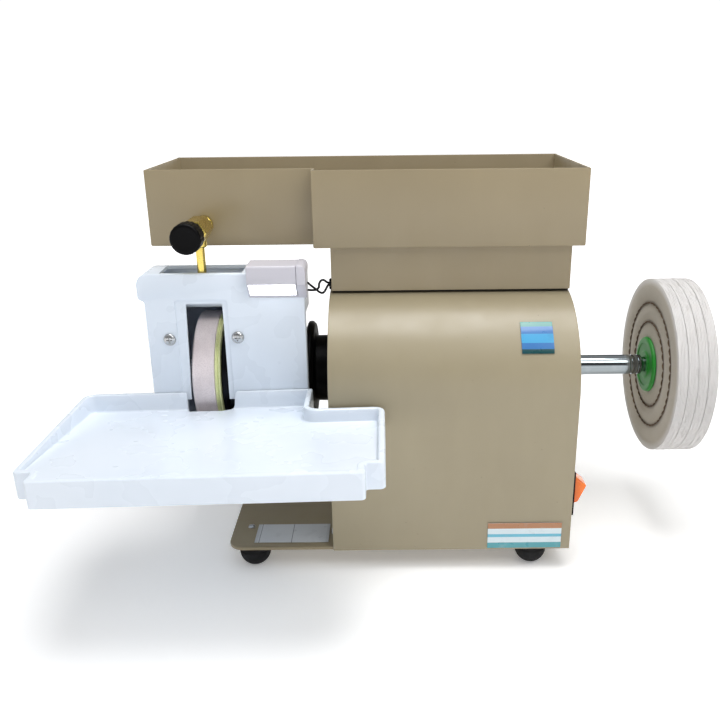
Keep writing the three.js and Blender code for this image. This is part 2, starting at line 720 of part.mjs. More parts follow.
function spindle(group) {
  const onAxis = [0, 0, AXIS_Z];
  const shoulder = -181;
  const motorEnd = 92;
  const stub = { radius: 5.5, end: 128 };
  const noseEnd = -225;
  const shaft = [
    [0, noseEnd],
    [NOSE_RADIUS - 1, noseEnd],
    [NOSE_RADIUS, noseEnd + 1],
    [NOSE_RADIUS, shoulder],
    [SHAFT_RADIUS, shoulder],
    [SHAFT_RADIUS, motorEnd],
    [stub.radius, motorEnd],
    [stub.radius, stub.end],
    [0, stub.end],
  ];
  part(group, "motor_shaft", turned("x", shaft, ROUND_SMALL, ...onAxis), STEEL);

  const bore = NOSE_RADIUS + GAP;
  const edge = 0.8;
  const wheel = [
    [bore, WHEEL.left],
    [WHEEL_RADIUS - edge, WHEEL.left],
    [WHEEL_RADIUS, WHEEL.left + edge],
    [WHEEL_RADIUS, WHEEL.right],
    [bore, WHEEL.right],
  ];
  part(group, "grinding_wheel", turned("x", wheel, ROUND_WHEEL, ...onAxis), CERAMIC);
  const rimRadius = WHEEL_RADIUS - 0.4;
  const grooveX = (BEVEL.left + BEVEL.right) / 2;
  const groove = 1.2;
  const bevel = [
    [bore, BEVEL.left],
    [rimRadius, BEVEL.left],
    [rimRadius, grooveX - groove],
    [rimRadius - groove, grooveX],
    [rimRadius, grooveX + groove],
    [rimRadius, BEVEL.right - 0.5],
    [rimRadius - 0.5, BEVEL.right],
    [bore, BEVEL.right],
  ];
  part(group, "bevel_wheel", turned("x", bevel, ROUND_WHEEL, ...onAxis), BEVEL_CERAMIC);

  const clamp = { outer: 20, inner: 47, nut: 13, nutWidth: 7 };
  const outer = { right: WHEEL.left - GAP, left: WHEEL.left - GAP - 3.5 };
  const washer = ring("x", clamp.outer, bore, outer.left, outer.right, ROUND, ...onAxis);
  part(group, "wheel_flange_outer", washer, STEEL);
  const backing = ring("x", clamp.inner, bore, BEVEL.right + GAP, shoulder - GAP, ROUND, ...onAxis);
  part(group, "wheel_flange_inner", backing, CAST_IRON);
  const nutRight = outer.left - GAP;
  part(group, "wheel_nut", nut("x", clamp.nut, bore, nutRight - clamp.nutWidth, nutRight), STEEL);

  const arbor = { left: HOUSING_HALF_WIDTH - 4, collar: 160, shoulder: 170, tip: 220, spigot: 6.3 };
  const socketEnd = stub.end + 2;
  const turning = [
    [0, socketEnd],
    [stub.radius + GAP, socketEnd],
    [stub.radius + GAP, arbor.left],
    [ARBOR_RADIUS, arbor.left],
    [ARBOR_RADIUS, arbor.collar],
    [ARBOR_RADIUS - 0.6, arbor.collar + 0.5],
    [ARBOR_RADIUS - 0.6, arbor.collar + 1.5],
    [ARBOR_RADIUS, arbor.collar + 2],
    [ARBOR_RADIUS, arbor.shoulder - 1],
    [ARBOR_RADIUS - 1, arbor.shoulder],
    [arbor.spigot, arbor.shoulder],
    [arbor.spigot, arbor.tip - 1],
    [arbor.spigot - 1, arbor.tip],
    [0, arbor.tip],
  ];
  part(group, "arbor_extension", turned("x", turning, ROUND_SMALL, ...onAxis), CHROME);

  const buffBore = arbor.spigot + GAP;
  const disc = { radius: 24, thick: 3, nut: 11, nutWidth: 6.5 };
  const innerDisc = { left: BUFF.left - GAP - disc.thick, right: BUFF.left - GAP };
  const outerDisc = { left: BUFF.right + GAP, right: BUFF.right + GAP + disc.thick };
  for (const [node, place] of [["buff_flange_inner", innerDisc], ["buff_flange_outer", outerDisc]]) {
    part(group, node, ring("x", disc.radius, buffBore, place.left, place.right, ROUND, ...onAxis), GREEN);
  }
  const soft = 2;
  const buff = [
    [buffBore, BUFF.left],
    [BUFF_RADIUS - soft, BUFF.left],
    [BUFF_RADIUS, BUFF.left + soft],
    [BUFF_RADIUS, BUFF.right - soft],
    [BUFF_RADIUS - soft, BUFF.right],
    [buffBore, BUFF.right],
  ];
  part(group, "buff_wheel", turned("x", buff, ROUND_WHEEL, ...onAxis), COTTON);
  const nutLeft = outerDisc.right + GAP;
  part(group, "buff_nut", nut("x", disc.nut, buffBore, nutLeft, nutLeft + disc.nutWidth), STEEL);
}

// ---- Motor -------------------------------------------------------------------------------------

function motor(group) {
  const onAxis = [0, 0, AXIS_Z];
  const frame = { radius: 64, half: 42, end: 76 };
  const rotorRadius = 40;
  const shaftFit = SHAFT_RADIUS + GAP;
  const stator = ring("x", frame.radius, rotorRadius + GAP, -frame.half, frame.half, ROUND, ...onAxis);
  part(group, "motor_stator", stator, COPPER_STACK);
  const rotor = ring("x", rotorRadius, shaftFit, -frame.half, frame.half, ROUND, ...onAxis);
  part(group, "motor_rotor", rotor, STEEL);
  const bearing = { outer: 21, from: 64.3, to: 75.7 };
  const seat = bearing.outer + GAP;
  const bellWall = 4;
  const bellStart = frame.half + GAP;
  const bell = [
    [frame.radius, bellStart],
    [frame.radius, frame.end],
    [seat, frame.end],
    [seat, bearing.from - GAP],
    [seat + 6, bearing.from - GAP],
    [seat + 6, frame.end - bellWall],
    [frame.radius - bellWall, frame.end - bellWall],
    [frame.radius - bellWall, bellStart],
  ];
  for (const [side, sign] of [["left", -1], ["right", 1]]) {
    const profile = bell.map(([radius, place]) => [radius, sign * place]);
    part(group, `motor_endbell_${side}`, turned("x", profile, ROUND, ...onAxis), CAST_IRON);
    const ends = [sign * bearing.from, sign * bearing.to].sort((a, b) => a - b);
    part(group, `bearing_${side}`, ring("x", bearing.outer, shaftFit, ...ends, ROUND, ...onAxis), CHROME);
  }

  const floor = PLATE_TOP + GAP;
  const cradle = { halfLength: 38, halfDepth: 42, top: 110, web: 8, foot: 5, bridge: 74 };
  const inside = cradle.halfDepth - cradle.web;
  const saddle = cut(
    box(-cradle.halfLength, cradle.halfLength, -cradle.halfDepth, cradle.halfDepth, floor, cradle.top),
    rod("x", frame.radius + GAP, -60, 60, ROUND, ...onAxis),
    box(-60, 60, -inside, inside, floor + cradle.foot, cradle.bridge),
  );
  part(group, "motor_cradle", saddle, CAST_IRON);
  const can = { radius: 16, half: 32, y: 64 };
  const canZ = floor + can.radius + 0.5;
  const capacitor = rod("x", can.radius, -can.half, can.half, ROUND_SMALL, 0, can.y, canZ);
  part(group, "run_capacitor", capacitor, ALUMINIUM);
}

// ---- Switch, cable entry, badges ---------------------------------------------------------------

// The rocker is a wedge on a line along Y inside the wall. It leans up at rest and down when thrown.
const ROCKER = { pivot: HOUSING_HALF_WIDTH - 9, lean: THREE.MathUtils.degToRad(15) };

function electrics(group) {
  const { y, z, halfWidth, halfHeight } = SWITCH;
  const wall = HOUSING_HALF_WIDTH;
  const bezel = { y: halfWidth + 1.7, z: halfHeight + 1.7, face: wall + 2 };
  const well = { y: halfWidth - 1.8, z: halfHeight - 1.3, floor: wall - 16 };
  const shell = { back: wall - 28, face: wall + 1, y: halfWidth - GAP, z: halfHeight - GAP };
  const body = cut(
    join(
      box(shell.back, shell.face, y - shell.y, y + shell.y, z - shell.z, z + shell.z),
      box(wall, bezel.face, y - bezel.y, y + bezel.y, z - bezel.z, z + bezel.z),
    ),
    box(well.floor, bezel.face + 1, y - well.y, y + well.y, z - well.z, z + well.z),
  );
  part(group, "switch_body", body, BLACK_PLASTIC);

  // Half of the wedge's side, as places out from the pivot and up from its middle line.
  const wedge = { apex: 21.9, shoulder: [12, 12.5], waist: [3, 13.5], heel: [-3, 6] };
  const upper = [[...wedge.shoulder, 1.2], wedge.waist, wedge.heel];
  const lower = upper.map(([out, up, ...rounding]) => [out, -up, ...rounding]).reverse();
  const side = outline([[wedge.apex, 0, 1.2], ...upper, ...lower], 4);
  const pivot = new THREE.Vector2(ROCKER.pivot, z);
  const places = side.map((place) => place.rotateAround(new THREE.Vector2(), ROCKER.lean).add(pivot));
  const play = 0.5;
  part(group, "switch_rocker", prism("y", places, y - well.y + play, y + well.y - play), ORANGE);

  const panel = HOUSING_HALF_DEPTH - 2 * GAP;
  const gland = { bore: 4.2, flange: 11, nut: 9.4, tip: 7 };
  const nose = [
    [gland.bore, panel - 12],
    [GLAND.radius, panel - 12],
    [GLAND.radius, panel + GAP],
    [gland.flange, panel + GAP],
    [gland.flange, panel + 5],
    [gland.nut, panel + 5.6],
    [gland.nut, panel + 12],
    [gland.tip, panel + 17],
    [gland.bore, panel + 17],
  ];
  part(group, "cable_gland", turned("y", nose, ROUND_SMALL, GLAND.x, 0, GLAND.z), BLACK_PLASTIC);
}

function badges(group) {
  const plateTop = PLATE_TOP + GAP;
  const tag = { left: -163, right: -101.5, front: -80, back: -52, thick: 0.8 };
  const plate = box(tag.left, tag.right, tag.front, tag.back, plateTop, plateTop + tag.thick);
  part(group, "tag_plate", plate, ALUMINIUM);
  const head = [[0, 0], [3, 0], [2.6, 1.2], [1.4, 1.8], [0, 1.9]];
  const screw = part(group, "tag_screw", turned("z", head, ROUND_SMALL), STEEL);
  screw.position.set(tag.left - 6, tag.back - 2.5, plateTop);

  // The upper badge follows the rolled shoulder of the housing.
  const centreY = SHOULDER_RADIUS - HOUSING_HALF_DEPTH;
  const centreZ = HOUSING_TOP - SHOULDER_RADIUS;
  const skin = SHOULDER_RADIUS + GAP;
  const film = 0.5;
  const upper = { left: 52, right: 76.8, from: 130, to: 151 }; // from and to are degrees round the shoulder
  const band = [
    ...arc(centreY, centreZ, skin, upper.from, upper.to, 8),
    ...arc(centreY, centreZ, skin + film, upper.to, upper.from, 8),
  ];
  part(group, "upper_badge", prism("x", band, upper.left, upper.right), BLUE_FILM);
  const face = -HOUSING_HALF_DEPTH - GAP;
  const lower = { left: 29.4, right: 89.4, bottom: 19.8, top: 42.8 };
  const label = box(lower.left, lower.right, face - film, face, lower.bottom, lower.top);
  part(group, "lower_badge", label, BADGE_FILM);
}

// ---- Assembly ----------------------------------------------------------------------------------

const edger = new THREE.Group();
const BUILDERS = [
  base, housing, riser, tank, tap, hood, chamber, lamp, leads, tray, spindle, motor, electrics, badges,
];
for (const build of BUILDERS) build(edger);

// The origin is the middle of the underside of the whole object's box.
edger.updateMatrixWorld(true);
const extent = new THREE.Box3().setFromObject(edger, true);
const middle = extent.getCenter(new THREE.Vector3());
edger.position.set(-middle.x, -middle.y, -extent.min.z);

export default edger;
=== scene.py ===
"""Looks of a bench-top lens edger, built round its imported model: camera, light, materials and pieces.

Pieces are drawn in millimetres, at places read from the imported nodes, and stored in metres.
"""

import json
import math
import random

import bmesh
import bpy
from mathutils import Matrix, Vector


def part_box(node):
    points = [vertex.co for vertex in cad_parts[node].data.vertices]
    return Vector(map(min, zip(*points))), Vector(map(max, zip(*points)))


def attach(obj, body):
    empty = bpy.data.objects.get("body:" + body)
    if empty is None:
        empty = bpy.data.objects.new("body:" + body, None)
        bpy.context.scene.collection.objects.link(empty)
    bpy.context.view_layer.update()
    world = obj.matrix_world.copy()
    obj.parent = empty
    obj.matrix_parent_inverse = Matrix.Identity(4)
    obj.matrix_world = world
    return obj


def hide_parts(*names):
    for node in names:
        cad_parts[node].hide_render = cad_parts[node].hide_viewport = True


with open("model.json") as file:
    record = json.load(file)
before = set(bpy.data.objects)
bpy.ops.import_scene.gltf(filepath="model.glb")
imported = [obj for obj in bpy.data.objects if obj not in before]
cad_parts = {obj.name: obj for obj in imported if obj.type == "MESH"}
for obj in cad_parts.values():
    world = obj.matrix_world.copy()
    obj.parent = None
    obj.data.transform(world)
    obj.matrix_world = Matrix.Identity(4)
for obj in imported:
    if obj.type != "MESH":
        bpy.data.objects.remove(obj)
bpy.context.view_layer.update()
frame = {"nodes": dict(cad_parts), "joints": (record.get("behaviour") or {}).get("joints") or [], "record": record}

MM = 0.001
SPIN = next(j for j in frame["joints"] if j["name"] == "spindle_spin")
AXIS = Vector(SPIN["pos_m"]) / MM  # a point on the spindle's line, which runs along X

BODY_OF = {node: body for body, nodes in frame["record"]["behaviour"]["bodies"].items() for node in nodes}

STITCH_RINGS = (53.5, 37.0)  # radii of the two rings of stitching through the buff, in millimetres
LINE = Vector((0, AXIS.y, AXIS.z))  # where the spindle's line crosses X = 0
MIDDLE = Vector((AXIS.x, AXIS.y, 0))  # the point of the bench under the spindle's middle


def box_mm(node):
    """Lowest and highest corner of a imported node, in millimetres."""
    low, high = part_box(node)
    return low / MM, high / MM


def centre_of(node, axis):
    """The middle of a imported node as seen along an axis, with 0 for its place on that axis."""
    low, high = box_mm(node)
    centre = (low + high) / 2
    centre["xyz".index(axis)] = 0
    return centre


def radius_of(node):
    """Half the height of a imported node, which is the radius of a piece turned about the spindle."""
    low, high = box_mm(node)
    return (high.z - low.z) / 2


# ---- Mesh helpers ------------------------------------------------------------------------------


def rectangle(x0, x1, y0, y1, near=0, far=0):
    """Corners of a rectangle for an outline, rounded by near at its y0 end and by far at its y1 end."""
    return [(x0, y0, near), (x1, y0, near), (x1, y1, far), (x0, y1, far)]


def bar(radius, low, high):
    """Turned profile of a plain solid bar, mostly used to drill holes."""
    return [(0, low), (radius, low), (radius, high), (0, high)]


def outline(corners, inset=0.0, steps=6):
    """Points of a closed outline of (u, v, radius) corners listed anticlockwise, drawn in by inset."""
    points = []
    count = len(corners)
    for i, (u, v, radius) in enumerate(corners):
        corner = Vector((u, v))
        arriving = (corner - Vector(corners[i - 1][:2])).normalized()
        leaving = (Vector(corners[(i + 1) % count][:2]) - corner).normalized()
        in_a = Vector((-arriving.y, arriving.x))
        in_b = Vector((-leaving.y, leaving.x))
        moved = corner + (in_a + in_b) * inset / (1 + in_a.dot(in_b))
        turn = math.atan2(arriving.cross(leaving), arriving.dot(leaving))
        way = 1 if turn > 0 else -1
        bend = max(radius - inset * way, 0.05)
        start = moved - arriving * bend * math.tan(abs(turn) / 2)
        centre = start + in_a * bend * way
        for step in range(steps + 1):
            angle = turn * step / steps
            spoke = Vector((start.x - centre.x, start.y - centre.y))
            spoke.rotate(Matrix.Rotation(angle, 2))
            points.append(centre + spoke)
    return points


def placed(axis, u, v, place):
    """A section's point in space: (u, v) is (Y, Z) along x, (X, Z) along y and (X, Y) along z."""
    if axis == "x":
        return Vector((place, u, v))
    if axis == "y":
        return Vector((u, place, v))
    return Vector((u, v, place))


def store(name, body, look, sharp=32):
    """A bmesh in millimetres as an object in metres, smooth but for edges sharper than the angle."""
    touching = 0.002
    bmesh.ops.remove_doubles(body, verts=body.verts, dist=touching)
    bmesh.ops.recalc_face_normals(body, faces=body.faces)
    bmesh.ops.scale(body, vec=(MM, MM, MM), verts=body.verts)
    mesh = bpy.data.meshes.new(name)
    body.to_mesh(mesh)
    body.free()
    return show(name, mesh, look, sharp)


def show(name, mesh, look, sharp=32):
    """A mesh as an object in the scene, with its material and its smooth shading."""
    mesh.shade_smooth()
    mesh.set_sharp_from_angle(angle=math.radians(sharp))
    mesh.materials.clear()
    mesh.materials.append(look)
    piece = bpy.data.objects.new(name, mesh)
    bpy.context.scene.collection.objects.link(piece)
    return piece


def skin(body, rings, closed=False, caps=True):
    """Faces between rings of points, each ring joined to the next, with a face over each end."""
    rows = [[body.verts.new(point) for point in ring] for ring in rings]
    pairs = list(zip(rows, rows[1:]))
    if closed:
        pairs.append((rows[-1], rows[0]))
    for low, high in pairs:
        for i in range(len(low)):
            j = (i + 1) % len(low)
            body.faces.new((low[i], low[j], high[j], high[i]))
    if caps and not closed:
        body.faces.new(rows[0])
        body.faces.new(rows[-1])


def loft(name, rings, look, closed=False, sharp=32):
    body = bmesh.new()
    skin(body, rings, closed=closed)
    return store(name, body, look, sharp)


def slab(name, corners, axis, low, high, edge, look, steps=6):
    """A plate or block of an outline, with its edges rounded over."""
    quarter = [math.radians(a) for a in (0, 30, 60, 90)]
    rounding = [(edge * (1 - math.sin(a)), edge * (1 - math.cos(a))) for a in quarter]
    stations = [(inset, low + rise) for inset, rise in rounding]
    stations += [(inset, high - rise) for inset, rise in reversed(rounding)]
    rings = []
    for inset, place in stations:
        rings.append([placed(axis, *p, place) for p in outline(corners, inset, steps)])
    return loft(name, rings, look)


def lathe_rings(profile, centre, axis, sides, wave=None):
    """Rings of a turned piece. A wave adds to the radius by angle, radius and place."""
    rings = []
    for radius, place in profile:
        ring = []
        for k in range(sides):
            angle = 2 * math.pi * k / sides
            reach = max(radius + (wave(angle, radius, place) if wave else 0), 0.0)
            u, v = reach * math.cos(angle), reach * math.sin(angle)
            ring.append(placed(axis, u, v, place) + centre)
        rings.append(ring)
    return rings


def lathe(name, profile, centre, axis, look, sides=96, wave=None, sharp=32):
    """A turned piece. Its profile is (radius, place along the axis), closed on itself or on the axis."""
    hollow = profile[0][0] > 0 and profile[-1][0] > 0
    body = bmesh.new()
    skin(body, lathe_rings(profile, centre, axis, sides, wave), closed=hollow, caps=False)
    return store(name, body, look, sharp)


def rounded(profile, radius=0.4, steps=3):
    """A turned profile with its corners rounded, where there is room for it."""
    points = [Vector(p) for p in profile]
    made = [tuple(points[0])]
    for before, corner, after in zip(points, points[1:], points[2:]):
        reach = min(radius, (corner - before).length / 2.2, (after - corner).length / 2.2)
        start = corner + (before - corner).normalized() * reach
        end = corner + (after - corner).normalized() * reach
        for step in range(steps + 1):
            t = step / steps
            made.append(tuple(start * (1 - t) ** 2 + corner * 2 * t * (1 - t) + end * t * t))
    made.append(tuple(points[-1]))
    return made


def settle(piece):
    """Applies a piece's modifiers to its mesh."""
    bpy.context.view_layer.update()
    graph = bpy.context.evaluated_depsgraph_get()
    mesh = bpy.data.meshes.new_from_object(piece.evaluated_get(graph))
    piece.modifiers.clear()
    piece.data = mesh


def carve(piece, *cutters, operation="DIFFERENCE", sharp=32):
    """Cuts each cutter out of a piece, or joins it on, and removes the cutter."""
    look = piece.data.materials[0]
    for cutter in cutters:
        change = piece.modifiers.new("carve", "BOOLEAN")
        change.operation = operation
        change.solver = "EXACT"
        change.object = cutter
    settle(piece)
    for cutter in cutters:
        bpy.data.objects.remove(cutter)
    mesh = piece.data
    mesh.materials.clear()
    mesh.materials.append(look)
    mesh.polygons.foreach_set("material_index", [0] * len(mesh.polygons))
    mesh.shade_smooth()
    mesh.set_sharp_from_angle(angle=math.radians(sharp))
    return piece


def block(x0, x1, y0, y1, z0, z1, look):
    """A plain box, only ever used as a cutter."""
    corners = outline(rectangle(x0, x1, y0, y1), 0, 1)
    return loft("cutter", [[Vector((*p, z)) for p in corners] for z in (z0, z1)], look)


def stand_for(piece, node):
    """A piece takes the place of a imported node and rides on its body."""
    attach(piece, BODY_OF[node])
    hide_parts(node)
    return piece


def turned(name, node, profile, look, sides=96, corner=0.4, axis="x", centre=None, wave=None):
    """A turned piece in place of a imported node, on the spindle's line unless it has its own centre."""
    shape = rounded(profile, corner) if corner else profile
    return stand_for(lathe(name, shape, centre or LINE, axis, look, sides, wave), node)


def add_on(piece, body):
    """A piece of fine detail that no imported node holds."""
    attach(piece, body)
    return piece


def refine(node, look, width=0.4, segments=2, sharp=32):
    """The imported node's own shape, with its flat faces merged and its sharp edges rounded."""
    body = bmesh.new()
    body.from_mesh(frame["nodes"][node].data)
    touching = 2e-6
    bmesh.ops.remove_doubles(body, verts=body.verts, dist=touching)
    flat = math.radians(0.5)
    bmesh.ops.dissolve_limit(body, angle_limit=flat, verts=body.verts, edges=body.edges)
    keen = math.radians(sharp)
    edges = [e for e in body.edges if len(e.link_faces) == 2 and e.calc_face_angle() > keen]
    bmesh.ops.bevel(
        body, geom=edges, offset=width * MM, offset_type="OFFSET", segments=segments,
        profile=0.5, affect="EDGES", clamp_overlap=True,
    )
    mesh = bpy.data.meshes.new(node + "_skin")
    body.to_mesh(mesh)
    body.free()
    return stand_for(show(node + "_skin", mesh, look, sharp=25), node)


# ---- Materials ---------------------------------------------------------------------------------


def darker(colour, by):
    """A colour with every channel multiplied, which lightens it where by is above 1."""
    return [channel * by for channel in colour]


def from_screen(red, green, blue):
    """A colour given as 0 to 255 on a screen, as the shader's own linear values."""
    scaled = [value / 255 for value in (red, green, blue)]
    linear = [c / 12.92 if c <= 0.04045 else ((c + 0.055) / 1.055) ** 2.4 for c in scaled]
    return (*linear, 1.0)


class Finish:
    """A Principled material whose colour, roughness and bump are built up from noise."""

    def __init__(self, name, colour, roughness, metallic=0.0):
        self.material = bpy.data.materials.new(name)
        self.material.use_nodes = True
        self.nodes = self.material.node_tree.nodes
        self.links = self.material.node_tree.links
        self.shader = self.nodes["Principled BSDF"]
        self.base = from_screen(*colour)
        self.rough = roughness
        self.set(Base_Color=self.base, Roughness=roughness, Metallic=metallic)
        self.place = self.node("TexCoord").outputs["Object"]
        self.colour = None
        self.normal = None

    def set(self, **numbers):
        """Sets shader inputs by name, with _ for each space."""
        for name, value in numbers.items():
            self.shader.inputs[name.replace("_", " ")].default_value = value
        return self

    def node(self, kind, **inputs):
        """A new shader node, with each input given as a value or as another node's output."""
        made = self.nodes.new("ShaderNode" + kind)
        for name, value in inputs.items():
            socket = made.inputs[name.replace("_", " ")]
            if isinstance(value, bpy.types.NodeSocket):
                self.links.new(value, socket)
            else:
                socket.default_value = value
        return made

    def noise(self, size_mm, detail, stretch=(1, 1, 1)):
        """Noise with features of about size_mm, longer along an axis where stretch is above 1."""
        place = self.node("Mapping", Scale=[1 / s for s in stretch], Vector=self.place).outputs["Vector"]
        return self.node("TexNoise", Scale=1 / (size_mm * MM), Detail=detail, Vector=place).outputs["Fac"]

    def cells(self, size_mm):
        """Distance to the nearest of a scatter of points about size_mm apart."""
        return self.node("TexVoronoi", Scale=1 / (size_mm * MM), Vector=self.place).outputs["Distance"]

    def coordinate(self, axis):
        """Place along X, Y or Z, in metres."""
        return self.node("SeparateXYZ", Vector=self.place).outputs[axis]

    def math(self, operation, *values):
        node = self.node("Math")
        node.operation = operation
        for socket, value in zip(node.inputs, values):
            if isinstance(value, bpy.types.NodeSocket):
                self.links.new(value, socket)
            else:
                socket.default_value = value
        return node.outputs["Value"]

    def remap(self, value, low, high, to_low=0.0, to_high=1.0):
        node = self.node("MapRange", From_Min=low, From_Max=high, To_Min=to_low, To_Max=to_high, Value=value)
        return node.outputs["Result"]

    def tint(self, amount, colour):
        """Mixes another colour over what is there, as much as amount says at each point."""
        mix = self.node("Mix", Factor=amount)
        mix.data_type = "RGBA"
        below, above = mix.inputs[6], mix.inputs[7]
        below.default_value = self.base
        if self.colour:
            self.links.new(self.colour, below)
        above.default_value = from_screen(*colour)
        self.colour = mix.outputs[2]
        self.links.new(self.colour, self.shader.inputs["Base Color"])
        return self

    def cloud(self, size_mm, detail, low, high, amount, colour, stretch=(1, 1, 1)):
        """Soft patches of a colour: none where the noise is at low, as much as amount at high."""
        noise = self.noise(size_mm, detail, stretch)
        return self.tint(self.remap(noise, low, high, 0.0, amount), colour)

    def roughen(self, value, by):
        """Roughness that wanders by as much as by either side of its own value."""
        rough = self.remap(value, 0.25, 0.75, max(self.rough - by, 0.02), min(self.rough + by, 1.0))
        self.links.new(rough, self.shader.inputs["Roughness"])
        return self

    def waves(self, axis, pitch_mm):
        """Even ripples along an axis, pitch_mm apart."""
        turns = self.math("MULTIPLY", self.coordinate(axis), 2 * math.pi / (pitch_mm * MM))
        return self.math("SINE", turns)

    def bump(self, height, depth_mm, strength):
        """Adds relief of a depth over what is there."""
        node = self.node("Bump", Distance=depth_mm * MM, Strength=strength, Height=height)
        if self.normal:
            self.links.new(self.normal, node.inputs["Normal"])
        self.normal = node.outputs["Normal"]
        self.links.new(self.normal, self.shader.inputs["Normal"])
        return self


def paint(name, colour, dirt):
    """Stoved enamel on sheet metal: faint orange peel, slow colour drift, dust and small chips."""
    look = Finish(name, colour, 0.42)
    look.cloud(90, 2, 0.35, 0.7, 0.22, dirt)
    look.cloud(26, 4, 0.5, 0.8, 0.20, darker(colour, 1.1), (1, 1, 3))
    specks = look.remap(look.cells(7), 0.05, 0.02)
    scarce = look.remap(look.noise(30, 1), 0.56, 0.6)
    look.tint(look.math("MULTIPLY", specks, scarce), darker(dirt, 0.5))
    look.roughen(look.noise(18, 4), 0.10)
    look.bump(look.noise(1.1, 2), 0.03, 0.35)
    look.bump(look.noise(45, 1), 0.35, 0.12)
    return look.set(Coat_Weight=0.15, Coat_Roughness=0.25).material


def plastic(name, colour, roughness, shade, shine=0.5):
    """Moulded plastic: fine spark-eroded grain and a slow drift of colour and shine."""
    look = Finish(name, colour, roughness)
    look.cloud(90, 1, 0.3, 0.7, 0.3, shade)
    look.roughen(look.noise(30, 2), 0.05)
    look.bump(look.noise(0.6, 2), 0.006, 0.5)
    return look.set(Specular_IOR_Level=shine).material


def metal(name, colour, roughness, stain, along=(1, 1, 1), scratch=0.008):
    """Bare or plated metal with fine tool marks, smudges and stains."""
    look = Finish(name, colour, roughness, 1.0)
    look.cloud(12, 5, 0.45, 0.8, 0.5, stain)
    look.roughen(look.noise(5, 6, along), 0.08)
    look.bump(look.noise(0.35, 2, along), scratch, 0.6)
    return look.material


def turned_metal(name, colour, roughness, stain, pitch_mm=0.5, depth=0.01):
    """Metal turned on a lathe about the spindle's line, with fine rings round it."""
    look = Finish(name, colour, roughness, 1.0)
    look.cloud(10, 5, 0.5, 0.8, 0.45, stain)
    look.roughen(look.noise(6, 5, (0.2, 4, 4)), 0.05)
    look.bump(look.waves("X", pitch_mm), depth, 0.4)
    look.bump(look.noise(0.5, 2, (0.3, 5, 5)), depth, 0.4)
    return look.set(Anisotropic=0.3).material


def ceramic(name, colour, fleck):
    """Fine bonded abrasive: packed grains, open pores and a damp, worn face."""
    look = Finish(name, colour, 0.42)
    look.cloud(0.9, 3, 0.45, 0.7, 0.55, fleck)
    look.cloud(14, 3, 0.4, 0.7, 0.35, darker(fleck, 0.9))
    look.tint(look.remap(look.cells(1.6), 0.16, 0.06, 0.0, 0.5), darker(fleck, 0.6))
    look.roughen(look.noise(6, 4), 0.15)
    look.bump(look.noise(0.5, 3), 0.06, 0.6)
    return look.material


def cotton():
    """Cotton plies: a fine weave, a soft nap, a pale rim, and faces darkened by painted shade with some dulling
    from compound.
    """
    look = Finish("cotton_plies", (206, 204, 203), 0.95)
    distance = look.node("VectorMath")
    distance.operation = "DISTANCE"
    flat = look.node("Mapping", Scale=(0, 1, 1), Vector=look.place)
    look.links.new(flat.outputs["Vector"], distance.inputs[0])
    distance.inputs[1].default_value = LINE * MM
    reach = distance.outputs["Value"]
    face_ends, rim_starts = 68 * MM, 72.8 * MM
    # Painted shade with some compound dulling: the side faces are tinted darker than the rim.
    look.tint(look.remap(reach, rim_starts, face_ends, 0.0, 0.9), (168, 160, 144))
    look.cloud(11, 4, 0.45, 0.75, 0.15, (196, 188, 180))
    for ring in STITCH_RINGS:
        away = look.math("ABSOLUTE", look.math("SUBTRACT", reach, ring * MM))
        look.tint(look.remap(away, 2.6 * MM, 0.8 * MM, 0.0, 0.8), (112, 98, 84))
    ply, yarn = 1.12, 0.55
    look.bump(look.waves("X", ply), 0.12, 0.35)
    weave = look.math("MULTIPLY", look.waves("Y", yarn), look.waves("Z", yarn))
    look.bump(weave, 0.06, 0.5)
    look.bump(look.noise(0.7, 4), 0.2, 0.5)
    look.bump(look.noise(6, 3), 0.6, 0.2)
    return look.set(Sheen_Weight=0.3, Sheen_Roughness=0.6, Specular_IOR_Level=0.15).material


def rubber(name, colour):
    """Matt rubber, soft sheath or thread, dusty in patches."""
    look = Finish(name, colour, 0.75)
    look.cloud(10, 4, 0.5, 0.8, 0.4, darker(colour, 1.8))
    look.roughen(look.noise(4, 4), 0.12)
    look.bump(look.noise(0.5, 3), 0.05, 0.6)
    return look.set(Specular_IOR_Level=0.2).material


def translucent_orange():
    """The rocker's clear orange plastic, deeper in colour towards the switch body."""
    look = Finish("orange_cap", (247, 128, 14), 0.22)
    inner, outer = 138 * MM, 150 * MM
    look.tint(look.remap(look.coordinate("X"), inner, outer, 0.55, 0.0), (206, 70, 8))
    look.roughen(look.noise(5, 4), 0.06)
    look.bump(look.noise(0.8, 2), 0.02, 0.4)
    return look.set(Subsurface_Weight=0.25, Subsurface_Scale=0.004, Coat_Weight=0.3).material


def glowing_diffuser():
    """The lamp's opal window, lit from behind."""
    look = Finish("opal_diffuser", (250, 252, 250), 0.35)
    look.cloud(6, 2, 0.4, 0.7, 0.3, (228, 238, 246))
    look.bump(look.noise(0.7, 2), 0.02, 0.5)
    return look.set(Emission_Color=(0.93, 0.97, 1.0, 1.0), Emission_Strength=6.0).material


def foil(name, ground, bands, axis, roughness=0.3):
    """A printed film with plain colour bands. A band is (from, to, colour), in metres along the axis."""
    look = Finish(name, ground, roughness)
    for low, high, colour in bands:
        place = look.coordinate(axis)
        above = look.math("GREATER_THAN", place, low)
        below = look.math("LESS_THAN", place, high)
        look.tint(look.math("MULTIPLY", above, below), colour)
    look.cloud(8, 4, 0.55, 0.8, 0.25, darker(ground, 0.8))
    look.bump(look.noise(6, 2), 0.08, 0.3)
    look.roughen(look.noise(10, 3), 0.06)
    return look.set(Coat_Weight=0.4, Coat_Roughness=0.1).material


def banded(node, name, ground, shares, axis, roughness=0.3):
    """A foil whose bands are given as shares of a node's own width along an axis."""
    low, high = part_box(node)
    start, width = low["XYZ".index(axis)], (high - low)["XYZ".index(axis)]
    bands = [(start + a * width, start + b * width, colour) for a, b, colour in shares]
    return foil(name, ground, bands, axis, roughness)


